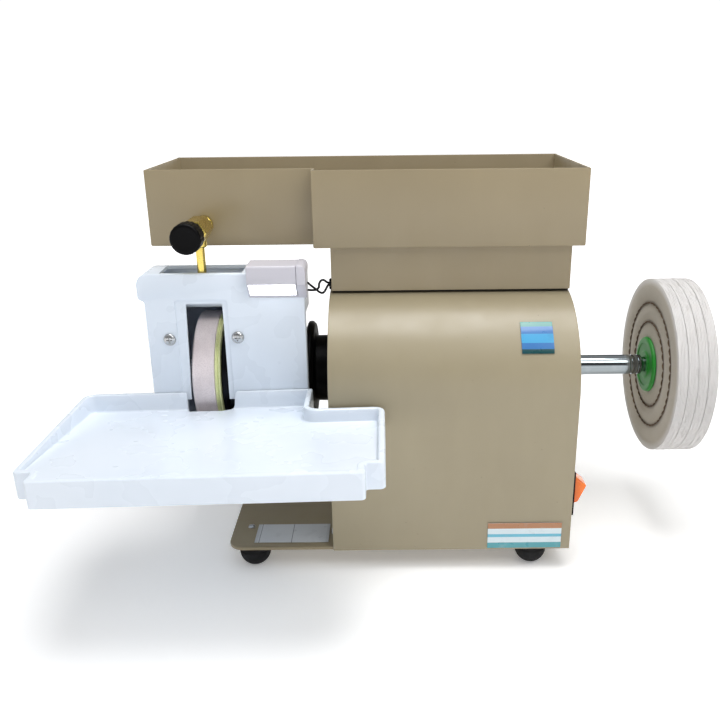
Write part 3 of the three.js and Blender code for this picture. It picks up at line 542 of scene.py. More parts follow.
BEIGE = paint("beige_enamel", (153, 143, 118), (132, 121, 98))
# A darker copy of the beige enamel, as painted shade: tank, riser and base plate share the body's one beige paint.
SHADED_BEIGE = paint("beige_enamel_shaded", (146, 133, 106), (120, 108, 84))
WHITE = plastic("white_plastic", (222, 230, 240), 0.28, (206, 218, 232))
LAMP_GREY = plastic("lamp_plastic", (196, 194, 202), 0.35, (180, 178, 188))
BLACK = plastic("black_plastic", (3, 3, 4), 0.45, (8, 8, 10), 0.1)
RUBBER = rubber("foot_rubber", (26, 26, 27))
SHEATH = rubber("lead_sheath", (22, 22, 24))
CHROME = turned_metal("bright_chrome", (150, 158, 162), 0.07, (180, 182, 186), 0.9, 0.003)
STEEL = turned_metal("turned_steel", (168, 170, 173), 0.28, (120, 116, 110))
PLATED = metal("plated_steel", (186, 188, 190), 0.26, (140, 134, 126))
IRON = metal("cast_iron", (92, 94, 97), 0.6, (62, 58, 54), scratch=0.12)
STACK = metal("stator_stack", (128, 112, 96), 0.5, (96, 66, 44), (12, 1, 1), 0.06)
BRASS = metal("yellow_brass", (226, 204, 112), 0.24, (176, 148, 66))
# Near-black steel for the wheel's inner flange, which makes the wheel's side dark.
DARK_FLANGE_STEEL = metal("near_black_steel", (30, 31, 36), 0.4, (18, 18, 20))
CERAMIC = ceramic("pink_ceramic", (232, 222, 224), (206, 194, 198))
BEVEL = ceramic("lime_ceramic", (222, 227, 176), (196, 203, 132))
GREEN = plastic("green_disc", (22, 138, 36), 0.5, (16, 112, 26))
ALUMINIUM = metal("brushed_aluminium", (196, 198, 201), 0.34, (150, 150, 152), (20, 1, 1), 0.012)
DIFFUSER = glowing_diffuser()
ORANGE = translucent_orange()
COTTON = cotton()
THREAD = rubber("brown_thread", (92, 76, 62))


# ---- Camera, light and floor -------------------------------------------------------------------


def add_camera():
    """The camera, level but for a downward tilt and a slight roll, with its view shifted sideways."""
    pitch, roll = math.radians(19.2), math.radians(-0.6)
    forward = Vector((0, math.cos(pitch), -math.sin(pitch)))
    right = Vector((1, 0, 0))
    up = right.cross(forward)
    level = Matrix((right, up, -forward)).transposed()
    camera = bpy.data.objects.new("camera", bpy.data.cameras.new("camera"))
    camera.matrix_world = (level @ Matrix.Rotation(roll, 3, "Z")).to_4x4()
    camera.location = (-0.01342, -0.6042, 0.3803)
    camera.data.lens = 39.6
    camera.data.sensor_width = 36
    camera.data.shift_x = -0.0347
    camera.data.clip_start = 0.01
    bpy.context.scene.collection.objects.link(camera)
    bpy.context.scene.camera = camera


def add_light(name, place, size, watts, colour=(1, 1, 1)):
    """A round lamp that points at the middle of the machine."""
    lamp = bpy.data.lights.new(name, "AREA")
    lamp.shape = "DISK"
    lamp.size = size
    lamp.energy = watts
    lamp.color = colour
    light = bpy.data.objects.new(name, lamp)
    light.location = place
    aim = Vector((0, 0, 0.15)) - Vector(place)
    light.rotation_euler = aim.to_track_quat("-Z", "Y").to_euler()
    bpy.context.scene.collection.objects.link(light)


def add_backdrop():
    """Pale surroundings with a darker stretch part of the way up, which the bright metal mirrors."""
    world = bpy.data.worlds.new("studio")
    world.use_nodes = True
    nodes, links = world.node_tree.nodes, world.node_tree.links
    direction = nodes.new("ShaderNodeTexCoord").outputs["Generated"]
    split = nodes.new("ShaderNodeSeparateXYZ")
    links.new(direction, split.inputs["Vector"])
    height = nodes.new("ShaderNodeMapRange")
    height.inputs["From Min"].default_value = -1
    links.new(split.outputs["Z"], height.inputs["Value"])
    ramp = nodes.new("ShaderNodeValToRGB")
    links.new(height.outputs["Result"], ramp.inputs["Fac"])
    shades = ramp.color_ramp.elements
    shades[0].color = (1, 1, 1, 1)
    shades[1].color = (0.5, 0.5, 0.5, 1)
    for place, grey in ((0.565, 1.0), (0.6, 0.1), (0.76, 0.1), (0.84, 0.5)):
        shades.new(place).color = (grey, grey, grey, 1)
    links.new(ramp.outputs["Color"], nodes["Background"].inputs["Color"])
    nodes["Background"].inputs["Strength"].default_value = 1.7
    bpy.context.scene.world = world
    view = bpy.context.scene.view_settings
    view.view_transform = "Standard"
    view.exposure = -0.7


def add_studio():
    add_backdrop()
    add_light("key", (0.75, -0.8, 1.25), 0.7, 9, (1.0, 0.99, 0.97))
    add_light("fill", (-0.9, -0.95, 0.7), 1.0, 0.8)
    add_light("top", (0.1, -0.1, 1.6), 1.0, 30)
    add_floor()


def add_floor():
    """A pale floor just under the feet. It glows more far away, so that it stays as pale as near by."""
    half, level = 4.0, -0.0004
    body = bmesh.new()
    corners = ((-half, -half), (half, -half), (half, half), (-half, half))
    body.faces.new([body.verts.new((x, y, level)) for x, y in corners])
    mesh = bpy.data.meshes.new("floor")
    body.to_mesh(mesh)
    body.free()
    paper = Finish("pale_floor", (250, 250, 250), 0.6)
    paper.cloud(400, 2, 0.3, 0.7, 0.2, (242, 242, 242))
    paper.bump(paper.noise(3, 2), 0.03, 0.2)
    paper.set(Emission_Color=(1.0, 1.0, 1.0, 1.0))
    distance = paper.node("VectorMath")
    distance.operation = "LENGTH"
    paper.links.new(paper.place, distance.inputs[0])
    glow = paper.remap(distance.outputs["Value"], 0.4, 1.5, 0.35, 1.6)
    paper.links.new(glow, paper.shader.inputs["Emission Strength"])
    show("floor", mesh, paper.material)


# ---- Lamp leads --------------------------------------------------------------------------------

LEAD_RADIUS = 0.9
# Places along each lead, in millimetres from MIDDLE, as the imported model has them.
LEADS = {
    "upper": [
        (-113, -45, 234), (-110.5, -43, 231), (-107.5, -39, 227.3), (-105, -35.5, 224), (-103, -33, 222.4),
        (-101.4, -30, 222.5), (-99.8, -26.5, 224.6), (-98, -24.2, 226.9), (-94, -24.2, 227.4),
        (-91, -24.2, 227.4),
    ],
    "lower": [
        (-113, -43, 227.5), (-110, -39.5, 226.4), (-107.4, -34.2, 225.4), (-105.6, -30.8, 226.4),
        (-105.2, -29, 229.3), (-103.6, -27.6, 231.4), (-101.4, -26, 231.2), (-99.6, -23.4, 229),
        (-98, -21.8, 228), (-94, -21.8, 227.4), (-91, -21.8, 227.4),
    ],
}


def catmull(points, steps=6):
    """A smooth path through points, the same curve that the model's leads follow."""
    path = []
    ends = [2 * points[0] - points[1], *points, 2 * points[-1] - points[-2]]
    for a, b, c, d in zip(ends, ends[1:], ends[2:], ends[3:]):
        for step in range(steps):
            t = step / steps
            squared = 2 * a - 5 * b + 4 * c - d
            cubed = 3 * b - a - 3 * c + d
            path.append(0.5 * (2 * b + (c - a) * t + squared * t * t + cubed * t**3))
    return [*path, points[-1]]


def add_leads():
    for name, places in LEADS.items():
        route = catmull([(Vector(place) + MIDDLE) * MM for place in places])
        curve = bpy.data.curves.new(f"lead_{name}", "CURVE")
        curve.dimensions = "3D"
        curve.bevel_depth = LEAD_RADIUS * MM
        curve.bevel_resolution = 5
        curve.use_fill_caps = True
        spline = curve.splines.new("POLY")
        spline.points.add(len(route) - 1)
        for point, place in zip(spline.points, route):
            point.co = (*place, 1)
        spline.use_smooth = True
        curve.materials.append(SHEATH)
        lead = bpy.data.objects.new(f"lead_{name}", curve)
        bpy.context.scene.collection.objects.link(lead)
        stand_for(lead, f"lamp_lead_{name}")


# ---- Base and housing --------------------------------------------------------------------------


def build_base():
    # The base plate takes the darker beige copy, which is painted shade.
    refine("base_plate", SHADED_BEIGE, 0.6)
    for node in [n for n in frame["nodes"] if n.startswith("foot_")]:
        low, high = box_mm(node)
        radius = (high.x - low.x) / 2
        top = high.z
        angles = [math.radians(a) for a in range(25, 91, 5)]
        dome = [(radius * math.sin(a), radius * (1 - math.cos(a))) for a in angles]
        lift = dome[0][1]
        side = [(r, z - lift) for r, z in dome]
        seat = side[-1][1]
        neck = radius - 0.5
        collar = [(radius, seat + 1.5), (neck, seat + 2.1), (neck, top - 1), (radius - 1.2, top)]
        recess = [(0, 1.6), (2.2, 1.6), (2.6, 0.3), (3.0, 0.0)]
        profile = recess + side + collar + [(0, top)]
        turned(node + "_dome", node, profile, RUBBER, 64, 0, "z", centre_of(node, "z"))


def build_housing():
    for node, look, edge in (
        ("housing_wrap", BEIGE, 0.5), ("side_panel_left", BEIGE, 0.3), ("side_panel_right", BEIGE, 0.3),
        # The tank riser takes the darker beige copy, which is painted shade.
        ("back_panel", BEIGE, 0.3), ("tank_riser", SHADED_BEIGE, 0.5), ("riser_gasket", RUBBER, 0.15),
    ):
        refine(node, look, edge)


def cut_cross(screw, axis, centre, long, thin, ends):
    """Cuts a cross recess into a screw head, between two places along its axis."""
    arms = []
    for wide, tall in ((long, thin), (thin, long)):
        corners = outline(rectangle(-wide, wide, -tall, tall), 0, 1)
        rings = [[placed(axis, *p, end) + centre for p in corners] for end in ends]
        arms.append(loft("cutter", rings, PLATED))
    return carve(screw, *arms)


def pan_head(name, centre, axis, way):
    """A low domed screw head with a cross recess, standing out along an axis."""
    radius = 3.4
    dome = [(0, 2.0), (1.2, 1.95), (2.2, 1.7), (3.0, 1.1), (radius, 0.3), (radius, 0), (0, 0)]
    head = lathe(name, [(r, way * h) for r, h in dome], centre, axis, PLATED, 32)
    return cut_cross(head, axis, centre, 2.0, 0.35, (way * 0.9, way * 3.0))


def build_panel_screws():
    """Screws that hold the back panel and the side panels, near their corners."""
    edge = 9
    low, high = box_mm("back_panel")
    places = [(x, z) for x in (low.x + edge, high.x - edge) for z in (low.z + edge, high.z - edge)]
    screws = [(f"back_screw_{i + 1}", Vector((x, high.y, z)), "y", 1) for i, (x, z) in enumerate(places)]
    for side, way in (("left", -1), ("right", 1)):
        low, high = box_mm(f"side_panel_{side}")
        x = low.x if way < 0 else high.x
        places = [(low.y + edge, low.z + edge), (high.y - edge, low.z + edge), (high.y - edge, high.z - edge)]
        screws += [(f"{side}_screw_{i + 1}", Vector((x, y, z)), "x", way) for i, (y, z) in enumerate(places)]
    for name, place, axis, way in screws:
        add_on(pan_head(name, place, axis, way), "frame")


# ---- Tank and tap ------------------------------------------------------------------------------

TANK_STEP = 132  # from the tank's left end to where its front steps forward
TANK_SETBACK = 16.5
TANK_WALL = 2.0
TAP_BORE = 6
TUBE_RADIUS = 3.5
TUBE_BORE = 2.5


def build_tank():
    low, high = box_mm("water_tank")
    step = low.x + TANK_STEP
    setback = low.y + TANK_SETBACK
    plan = [
        (low.x, setback, 1.0), (step, setback, 0.8), (step, low.y, 1.0),
        (high.x, low.y, 1.0), (high.x, high.y, 1.0), (low.x, high.y, 1.0),
    ]
    bottom, top, wall = low.z, high.z, TANK_WALL
    stations = [
        (4, bottom), (1.2, bottom), (0.35, bottom + 0.35), (0, bottom + 1.2),
        (0, top - 0.7), (0.2, top - 0.2), (0.7, top),
        (wall - 0.7, top), (wall - 0.2, top - 0.2), (wall, top - 0.7),
        (wall, bottom + 4.5), (wall + 0.6, bottom + 2.9), (wall + 2.5, bottom + 2),
    ]
    rings = [[Vector((*p, z)) for p in outline(plan, inset, 5)] for inset, z in stations]
    # The tank takes the darker beige copy, which is painted shade.
    tank = loft("tank_shell", rings, SHADED_BEIGE)
    drill = bar(TAP_BORE, setback - 2, setback + 4)
    carve(tank, lathe("cutter", drill, centre_of("tap_locknut", "y"), "y", BRASS, 32))
    stand_for(tank, "water_tank")


def hexagon(name, reach, low, high, centre, axis, look, chamfer=0.8, bore=0.0):
    """A hexagon bar, reach from middle to corner, chamfered at both ends, which a bore may run through."""
    turns = [math.radians(60 * k) for k in range(6)]
    corners = [(reach * math.cos(turn), reach * math.sin(turn), 0.5) for turn in turns]
    slope = chamfer * 0.6
    rings = []
    for inset, place in ((chamfer, low), (0, low + slope), (0, high - slope), (chamfer, high)):
        rings.append([placed(axis, *p, place) + centre for p in outline(corners, inset, 3)])
    made = loft(name, rings, look)
    if bore:
        carve(made, lathe("cutter", bar(bore, low - 1, high + 1), centre, axis, look, 40))
    return made


def build_tap_body(centre, drip):
    """A turned barrel with a hexagon across its middle and a boss below, which the tube goes into."""
    low, high = box_mm("tap_body")
    front = low.y
    wall = box_mm("water_tank")[0].y + TANK_SETBACK
    barrel = [
        (0, front), (5.6, front), (7.6, front + 1.2), (7.6, front + 4), (6.9, front + 4.6), (6.9, front + 6),
        (7.6, wall - 14), (7.6, wall - 8), (6.6, wall - 7), (6.6, wall - 5),
        (7.4, wall - 4.4), (7.4, wall - 0.4), (5.7, wall - 0.3), (5.7, high.y), (0, high.y),
    ]
    body = lathe("tap_barrel", rounded(barrel), centre, "y", BRASS, 64)
    middle = hexagon("cutter", 10.1, front + 5.4, wall - 12.6, centre, "y", BRASS)
    boss = [(0, centre.z), (5.7, centre.z), (5.7, low.z + 1), (5.0, low.z), (0, low.z)]
    outlet = lathe("cutter", boss, drip, "z", BRASS, 48)
    carve(body, middle, outlet, operation="UNION")
    bore = lathe("cutter", bar(3, front - 1, front + 17), centre, "y", BRASS, 32)
    socket = lathe("cutter", bar(TUBE_RADIUS + 0.4, low.z - 1, low.z + 7.9), drip, "z", BRASS, 32)
    carve(body, bore, socket)
    stand_for(body, "tap_body")


def build_tap():
    centre = centre_of("tap_knob", "y")
    drip = centre_of("drip_tube", "z")
    build_tap_body(centre, drip)

    low, high = box_mm("tap_locknut")
    stand_for(hexagon("tap_backnut", 9, low.y, high.y, centre, "y", BRASS, bore=TAP_BORE), "tap_locknut")

    low, high = box_mm("drip_tube")
    outer, inner = TUBE_RADIUS, TUBE_BORE
    pipe = [
        (inner, high.z), (outer, high.z), (outer, low.z + 0.3), (outer - 0.3, low.z), (inner + 0.2, low.z),
        (inner, low.z + 0.3),
    ]
    turned("drip_pipe", "drip_tube", pipe, BRASS, 48, 0, "z", drip)

    low, high = box_mm("tap_stem")
    rod = [(0, low.y), (2.6, low.y), (2.6, high.y - 0.5), (2.1, high.y), (0, high.y)]
    turned("tap_spindle", "tap_stem", rod, BRASS, 32, 0, "y", centre)
    build_tap_knob(centre)


def build_tap_knob(centre):
    """A fluted cap with a dished face, hollow behind for the stem."""
    low, high = box_mm("tap_knob")
    radius = (high.x - low.x) / 2
    face, back = low.y, high.y
    grip = [
        (0, face + 0.5), (radius * 0.55, face + 0.35), (radius * 0.8, face), (radius - 0.8, face + 0.5),
        (radius, face + 1.9), (radius, back - 2.2), (radius - 1, back - 0.6), (radius - 2.4, back),
        (2.9, back), (2.9, back - 8.3), (0, back - 8.3),
    ]
    flutes = 18

    def fluting(angle, reach, place):
        on_grip = face + 1.5 < place < back - 1.5 and reach > radius - 1.5
        return -0.35 * max(0.0, math.cos(flutes * angle)) if on_grip else 0.0

    turned("tap_handle", "tap_knob", grip, BLACK, 180, 0.5, "y", centre, fluting)


# ---- Wheel hood, chamber and lamp --------------------------------------------------------------

HOOD_WALL = 2.5
EAR = 5  # the hood's upper left corner stands out by this much
EAR_HEIGHT = 21.6
# Left, right, front and back are from the ear's corner, and drop is from the hood's top.
WINDOW = {"left": 35.2, "right": 66.4, "drop": 24.3, "taper": 2.4}
BAND = {"left": 29, "right": 70.5, "drop": 20.6, "deep": 0.8}
SLOT = {"left": 18, "right": 83, "front": 3.5, "back": 31}


def build_hood():
    low, high = box_mm("wheel_hood")
    left = low.x + EAR
    bottom, top, front, back = low.z, high.z, low.y, high.y
    ear_bottom = top - EAR_HEIGHT
    shoulder = box_mm("wheel_chamber")[1].z + 0.5
    face = [
        (left, bottom, 0.5), (high.x, bottom, 0.5), (high.x, top, 4), (low.x, top, 9), (low.x, ear_bottom, 4),
        (left, ear_bottom, 2.5),
    ]
    hood = slab("hood_shell", face, "y", front, back, 1.3, WHITE)
    inner_left, inner_right = left + HOOD_WALL, high.x - HOOD_WALL
    inner_front, inner_top = front + HOOD_WALL, top - HOOD_WALL
    inside = [
        (inner_left, bottom - 1, 0.2), (inner_right, bottom - 1, 0.2), (inner_right, inner_top, 2),
        (inner_left, inner_top, 3),
    ]
    hollow = slab("cutter", inside, "y", inner_front, back - HOOD_WALL, 0.8, WHITE)
    open_back = block(inner_left, inner_right, inner_front + 2, back + 1, bottom - 1, shoulder, WHITE)
    open_right = block(high.x - 35, high.x + 1, front + 6.5, back + 1, bottom - 2, shoulder, WHITE)
    carve(hood, hollow, open_back, open_right)

    near, far = low.x + WINDOW["left"], low.x + WINDOW["right"]
    window = rectangle(near, far, bottom - 1, top - WINDOW["drop"], 0.2, 1.0)
    window[-1] = (near + WINDOW["taper"], top - WINDOW["drop"], 1.0)
    opening = slab("cutter", window, "y", front - 2, inner_front + 2, 0.2, WHITE)
    near, far = low.x + BAND["left"], low.x + BAND["right"]
    band = rectangle(near, far, bottom - 2, top - BAND["drop"], 0.5, 2.5)
    recess = slab("cutter", band, "y", front - 3, front + BAND["deep"], 0.5, WHITE)
    near, far = low.x + SLOT["left"], low.x + SLOT["right"]
    slot = rectangle(near, far, front + SLOT["front"], front + SLOT["back"], 1, 3)
    gap = slab("cutter", slot, "z", top - 5, top + 2, 0.3, WHITE)
    carve(hood, recess)
    carve(hood, opening, gap)
    drill = bar(2.4, front - 1, front + 4)
    screws = ("hood_screw_left", "hood_screw_right")
    holes = [lathe("cutter", drill, centre_of(screw, "y"), "y", WHITE, 24) for screw in screws]
    carve(hood, *holes, sharp=28)
    stand_for(hood, "wheel_hood")
    for screw in screws:
        build_hood_screw(screw)


def build_hood_screw(node):
    """A raised countersunk screw on a finishing washer, with a cross recess."""
    low, high = box_mm(node)
    at = centre_of(node, "y")
    radius = (high.x - low.x) / 2
    face, seat = low.y, low.y + 2.6
    profile = [
        (0, face), (radius * 0.45, face + 0.25), (radius * 0.72, face + 0.8), (radius * 0.8, face + 1.2),
        (radius * 0.86, face + 1.1), (radius * 0.96, face + 1.7), (radius, seat), (2, seat), (2, high.y),
        (0, high.y),
    ]
    screw = lathe(node + "_head", rounded(profile, 0.25), at, "y", PLATED, 48)
    stand_for(cut_cross(screw, "y", at, 2.3, 0.45, (face - 2, face + 1.5)), node)


def build_chamber():
    refine("wheel_chamber", WHITE, 0.5)
    refine("drain_spout", WHITE, 0.3)
    low, high = box_mm("chamber_flange")
    radius = radius_of("chamber_flange")
    hub, bore = 28.5, 13
    disc = low.x + 6.2
    profile = [
        (bore, low.x), (radius - 1.2, low.x), (radius, low.x + 1.2), (radius, disc - 2.2),
        (radius - 2.2, disc), (hub + 3, disc), (hub, disc + 1.2), (hub, high.x), (bore, high.x),
    ]
    turned("flange_disc", "chamber_flange", profile, BLACK, 128, 0.5)


def build_lamp():
    refine("lamp_housing", LAMP_GREY, 0.3)
    refine("lamp_end_cap", LAMP_GREY, 1.1, 3)
    refine("lamp_diffuser", DIFFUSER, 0.2)
    refine("lamp_led_board", GREEN, 0.1)
    low, high = box_mm("lead_grommet")
    centre = centre_of("lead_grommet", "x")
    reach = radius_of("lead_grommet")
    profile = [
        (2.3, low.x), (reach - 0.5, low.x), (reach, low.x + 0.7), (reach, low.x + 1.3), (3.1, low.x + 1.7),
        (3.1, high.x - 1.2), (reach - 0.2, high.x - 1), (reach - 0.2, high.x), (2.3, high.x),
    ]
    turned("grommet", "lead_grommet", profile, RUBBER, 32, 0.3, "x", centre)


# ---- Splash tray -------------------------------------------------------------------------------

# Places from the tray's right end along X, and from MIDDLE along Y.
TRAY = {"width": 245.5, "apron": -200, "front": -186, "side_back": -90.5, "back": -46.5, "inner": -58.5}
TRAY_NOTCH = 13
TRAY_SKIRT = 20
TRAY_TILT = 1.15  # degrees, down to the left
TRAY_RIGHT = -53.5  # from MIDDLE
TRAY_RIM = 147.5  # height of the rim above the bench
TRAY_FALL = 15
TRAY_SHEET = 2.5
# The mouth of the tray at the wheel: corners as (X from MIDDLE, Y from MIDDLE, radius).
MOUTH = [
    (-215, -44.5, 0.5), (-215, -50, 2), (-213, -57, 3), (-185, -57, 3), (-173, -50, 3), (-173, -44.5, 0.5),
]


def build_tray():
    """A formed sheet: a flat rim, a skirt turned down round it, and a floor that falls to the wheel."""
    t = TRAY
    width, notch = t["width"], TRAY_NOTCH
    plan = [
        (notch - width, t["apron"], 3), (-notch, t["apron"], 3), (-notch, t["front"], 2), (0, t["front"], 4),
        (0, t["side_back"], 8), (t["inner"], t["side_back"], 7), (t["inner"], t["back"], 2),
        (-width, t["back"], 10), (-width, t["front"], 4), (notch - width, t["front"], 2),
    ]
    depth = t["back"] - t["apron"]

    def ring(inset, height, fall):
        """One ring of the sheet: its height above the rim, and its share of the floor's fall."""
        points = []
        for u, v in outline(plan, inset, 6):
            floor = -TRAY_FALL * (v - t["apron"]) / depth
            points.append(Vector((u, v, height + fall * floor)))
        return points

    sheet, skirt = TRAY_SHEET, -TRAY_SKIRT
    rings = [ring(*station) for station in (
        (sheet + 3, -sheet, 1), (sheet, -sheet - 0.8, 1), (sheet, skirt + 0.3, 0), (sheet - 0.3, skirt, 0),
        (0.3, skirt, 0), (0, skirt + 0.3, 0), (0, -1.6, 0), (0.25, -0.7, 0), (0.8, -0.15, 0), (1.6, 0, 0),
        (3.6, 0, 0), (4.3, -0.12, 0.04), (4.8, -0.2, 0.18), (5.1, -0.2, 0.4), (5.3, -0.2, 0.75),
        (5.8, -0.1, 0.93), (6.8, 0, 1),
    )]
    tilt = Matrix.Rotation(math.radians(-TRAY_TILT), 4, "Y")
    pivot = Matrix.Translation(Vector((TRAY_RIGHT, 0, TRAY_RIM)) + MIDDLE)
    local = pivot @ tilt
    tray = loft("tray_sheet", [[local @ p for p in points] for points in rings], WHITE)

    hood = box_mm("wheel_hood")[0]
    left = hood.x + EAR - 1
    right = MIDDLE.x + TRAY_RIGHT + t["inner"] + 5
    back = MIDDLE.y + t["back"] + 1
    seat = block(left, right, hood.y - 0.5, back, hood.z - 0.3, hood.z + 10, WHITE)
    mouth = [(u + MIDDLE.x, v + MIDDLE.y, radius) for u, v, radius in MOUTH]
    cut_through = slab("cutter", mouth, "z", TRAY_RIM - TRAY_SKIRT - 15, TRAY_RIM + 5, 0.3, WHITE)
    carve(tray, seat)
    carve(tray, cut_through, sharp=28)
    stand_for(tray, "splash_tray")
    refine("tray_bracket", PLATED, 0.4)


# ---- Spindle -----------------------------------------------------------------------------------

NOSE_BORE = 8.0
ARBOR_BORE = 6.6


def thread(low, high, radius, pitch, depth):
    """Profile points of a thread, drawn as close rings."""
    turns = int((high - low) / pitch)
    points = []
    for k in range(turns):
        start = low + k * pitch
        points += [(radius - depth, start), (radius, start + pitch * 0.5)]
    return points


def build_grinding_end():
    low, high = box_mm("grinding_wheel")
    radius = radius_of("grinding_wheel")
    middle = (low.x + high.x) / 2
    wheel = [
        (NOSE_BORE, low.x), (radius - 9, low.x), (radius - 1.6, low.x + 0.1), (radius - 0.5, low.x + 0.6),
        (radius, low.x + 1.6), (radius - 0.25, middle), (radius, high.x - 0.5), (radius - 0.3, high.x),
        (NOSE_BORE, high.x),
    ]
    stand_for(lathe("wheel_stone", rounded(wheel, 0.6, 4), LINE, "x", CERAMIC, 160), "grinding_wheel")

    low, high = box_mm("bevel_wheel")
    radius = radius_of("bevel_wheel")
    groove = (low.x + high.x) / 2
    bevel = [
        (NOSE_BORE, low.x), (radius - 0.2, low.x), (radius, low.x + 0.3), (radius, groove - 1.2),
        (radius - 1.2, groove), (radius, groove + 1.2), (radius - 0.5, high.x), (NOSE_BORE, high.x),
    ]
    turned("bevel_stone", "bevel_wheel", bevel, BEVEL, 160, 0)

    for node, look in (("wheel_flange_outer", STEEL), ("wheel_flange_inner", DARK_FLANGE_STEEL)):
        low, high = box_mm(node)
        reach = radius_of(node)
        ring = [
            (NOSE_BORE, low.x), (reach - 1, low.x), (reach, low.x + 0.6), (reach, high.x - 0.6),
            (reach - 1, high.x), (NOSE_BORE, high.x),
        ]
        turned(node + "_turned", node, ring, look)
    low, high = box_mm("wheel_nut")
    nut = hexagon("wheel_nut_hex", 13, low.x, high.x, LINE, "x", PLATED, 1.2, NOSE_BORE)
    stand_for(nut, "wheel_nut")

    low, high = box_mm("motor_shaft")
    nose, journal, stub = 7.7, 10, 5.5
    shoulder = box_mm("wheel_flange_inner")[1].x + 0.3
    motor_end = high.x - 36
    shaft = [(0, low.x), (nose - 1, low.x), (nose, low.x + 1)]
    shaft += thread(low.x + 1.2, low.x + 14, nose, 1.25, 0.45)
    shaft += [
        (nose, low.x + 14.5), (nose, shoulder), (journal, shoulder), (journal, motor_end), (stub, motor_end),
        (stub, high.x), (0, high.x),
    ]
    turned("shaft_turned", "motor_shaft", shaft, STEEL, 64, 0)


def build_arbor():
    """A bright bar with a socket for the shaft, two grooves near its shoulder and a threaded spigot."""
    low, high = box_mm("arbor_extension")
    radius = radius_of("arbor_extension")
    socket, spigot = 5.8, 6.3
    socket_end = low.x + 37
    tip = high.x
    collar, shoulder = tip - 60, tip - 50
    arbor = [
        (0, socket_end), (socket, socket_end), (socket, low.x), (radius - 0.5, low.x), (radius, low.x + 0.5),
        (radius, collar - 1), (radius - 0.7, collar - 0.4),
        (radius - 0.7, collar + 1.2), (radius, collar + 1.8),
        (radius, shoulder - 4.5), (radius - 0.5, shoulder - 4.1), (radius - 0.5, shoulder - 3.6),
        (radius, shoulder - 3.2), (radius, shoulder - 1), (radius - 1, shoulder), (spigot, shoulder),
        (spigot, tip - 11),
    ]
    arbor += thread(tip - 11, tip - 1.4, spigot, 1.0, 0.4)
    arbor += [(spigot - 0.6, tip - 0.6), (spigot - 1.2, tip), (0, tip)]
    turned("arbor_turned", "arbor_extension", arbor, CHROME, corner=0)


BUFF_SEED = 7
PLIES = 28
SECTIONS = 4  # thick layers of plies, with a groove in the rim between each two


def ply_wave(count, amount, source):
    """A wandering edge: a sum of a few waves round the rim, different for each ply."""
    waves = []
    for _ in range(count):
        waves.append((source.randint(3, 29), source.uniform(0, 2 * math.pi), source.uniform(0.3, 1.0)))
    total = sum(size for _, _, size in waves)
    return lambda angle: amount * sum(s * math.sin(n * angle + p) for n, p, s in waves) / total


def build_buff():
    """Cloth plies with wandering edges, drawn in at the stitching, then its thread and its fray."""
    source = random.Random(BUFF_SEED)
    low, high = box_mm("buff_wheel")
    radius = radius_of("buff_wheel")
    pitch = (high.x - low.x) / PLIES
    each = PLIES // SECTIONS
    hub = 24  # the faces are flat inside this radius, where the discs clamp them
    left, right = low.x + 0.2, high.x - 0.2
    profile, waves = [], []

    def add(reach, place, amount, count=5):
        profile.append((reach, place))
        waves.append(ply_wave(count, amount, source))

    sink = ((-6, 0), (-1.5, 0.9), (1.5, 0.9), (6, 0))
    dimples = sorted((ring + shift, deep) for ring in STITCH_RINGS for shift, deep in sink)
    add(ARBOR_BORE, left, 0)
    add(hub, left, 0)
    for reach, deep in dimples:
        add(reach, left + deep, 0.25)
    for k in range(PLIES):
        start = low.x + k * pitch
        joint = k % each == 0
        crest = radius - 0.5 - source.uniform(0.0, 0.3)
        dip = 2.0 if joint and k else 0.4
        add(crest - dip, start + 0.02, 0.15)
        add(crest, start + pitch * 0.3, 0.3, 7)
        add(crest - 0.1, start + pitch * 0.7, 0.3, 7)
    add(radius - 2.4, high.x - 0.02, 0.3)
    for reach, deep in reversed(dimples):
        add(reach, right - deep, 0.25)
    add(hub, right, 0)
    add(ARBOR_BORE, right, 0)

    sides = 200
    body = bmesh.new()
    rings = []
    for (reach, place), wave in zip(profile, waves):
        ring = []
        for k in range(sides):
            angle = 2 * math.pi * k / sides
            grown = min(reach + wave(angle), radius)
            ring.append(Vector((place, grown * math.cos(angle), grown * math.sin(angle))) + LINE)
        rings.append(ring)
    skin(body, rings, closed=True, caps=False)
    buff = store("buff_plies", body, COTTON, sharp=75)
    stand_for(buff, "buff_wheel")
    build_stitching(low.x, high.x, source)
    build_fray(low.x, high.x, radius, source)


def tube(body, path, radii, sides=6):
    """A thin round tube along a path, with a radius at each point."""
    rings = []
    for i, place in enumerate(path):
        ahead = path[min(i + 1, len(path) - 1)] - path[max(i - 1, 0)]
        turn = ahead.to_track_quat("Z", "Y").to_matrix()
        ring = []
        for k in range(sides):
            angle = 2 * math.pi * k / sides
            ring.append(place + turn @ Vector((math.cos(angle), math.sin(angle), 0)) * radii[i])
        rings.append(ring)
    skin(body, rings)


def build_stitching(left, right, source):
    """Rings of thread through the plies, one stitch after another, on both faces."""
    body = bmesh.new()
    stitch = 6.2
    for reach in STITCH_RINGS:
        count = int(2 * math.pi * reach / 7)
        for face, out in ((left + 0.85, -1), (right - 0.85, 1)):
            for k in range(count):
                middle = 2 * math.pi * k / count + source.uniform(-0.01, 0.01)
                path = []
                for step in range(7):
                    share = step / 6 - 0.5
                    angle = middle + share * stitch / reach
                    rise = 0.5 * math.cos(math.pi * share)
                    off = source.uniform(-0.1, 0.1)
                    spoke = Vector((0, math.cos(angle), math.sin(angle))) * (reach + off)
                    path.append(Vector((face + out * rise, 0, 0)) + spoke + LINE)
                tube(body, path, [0.25, 0.5, 0.62, 0.65, 0.62, 0.5, 0.25])
    add_on(store("buff_stitching", body, THREAD), "spindle")


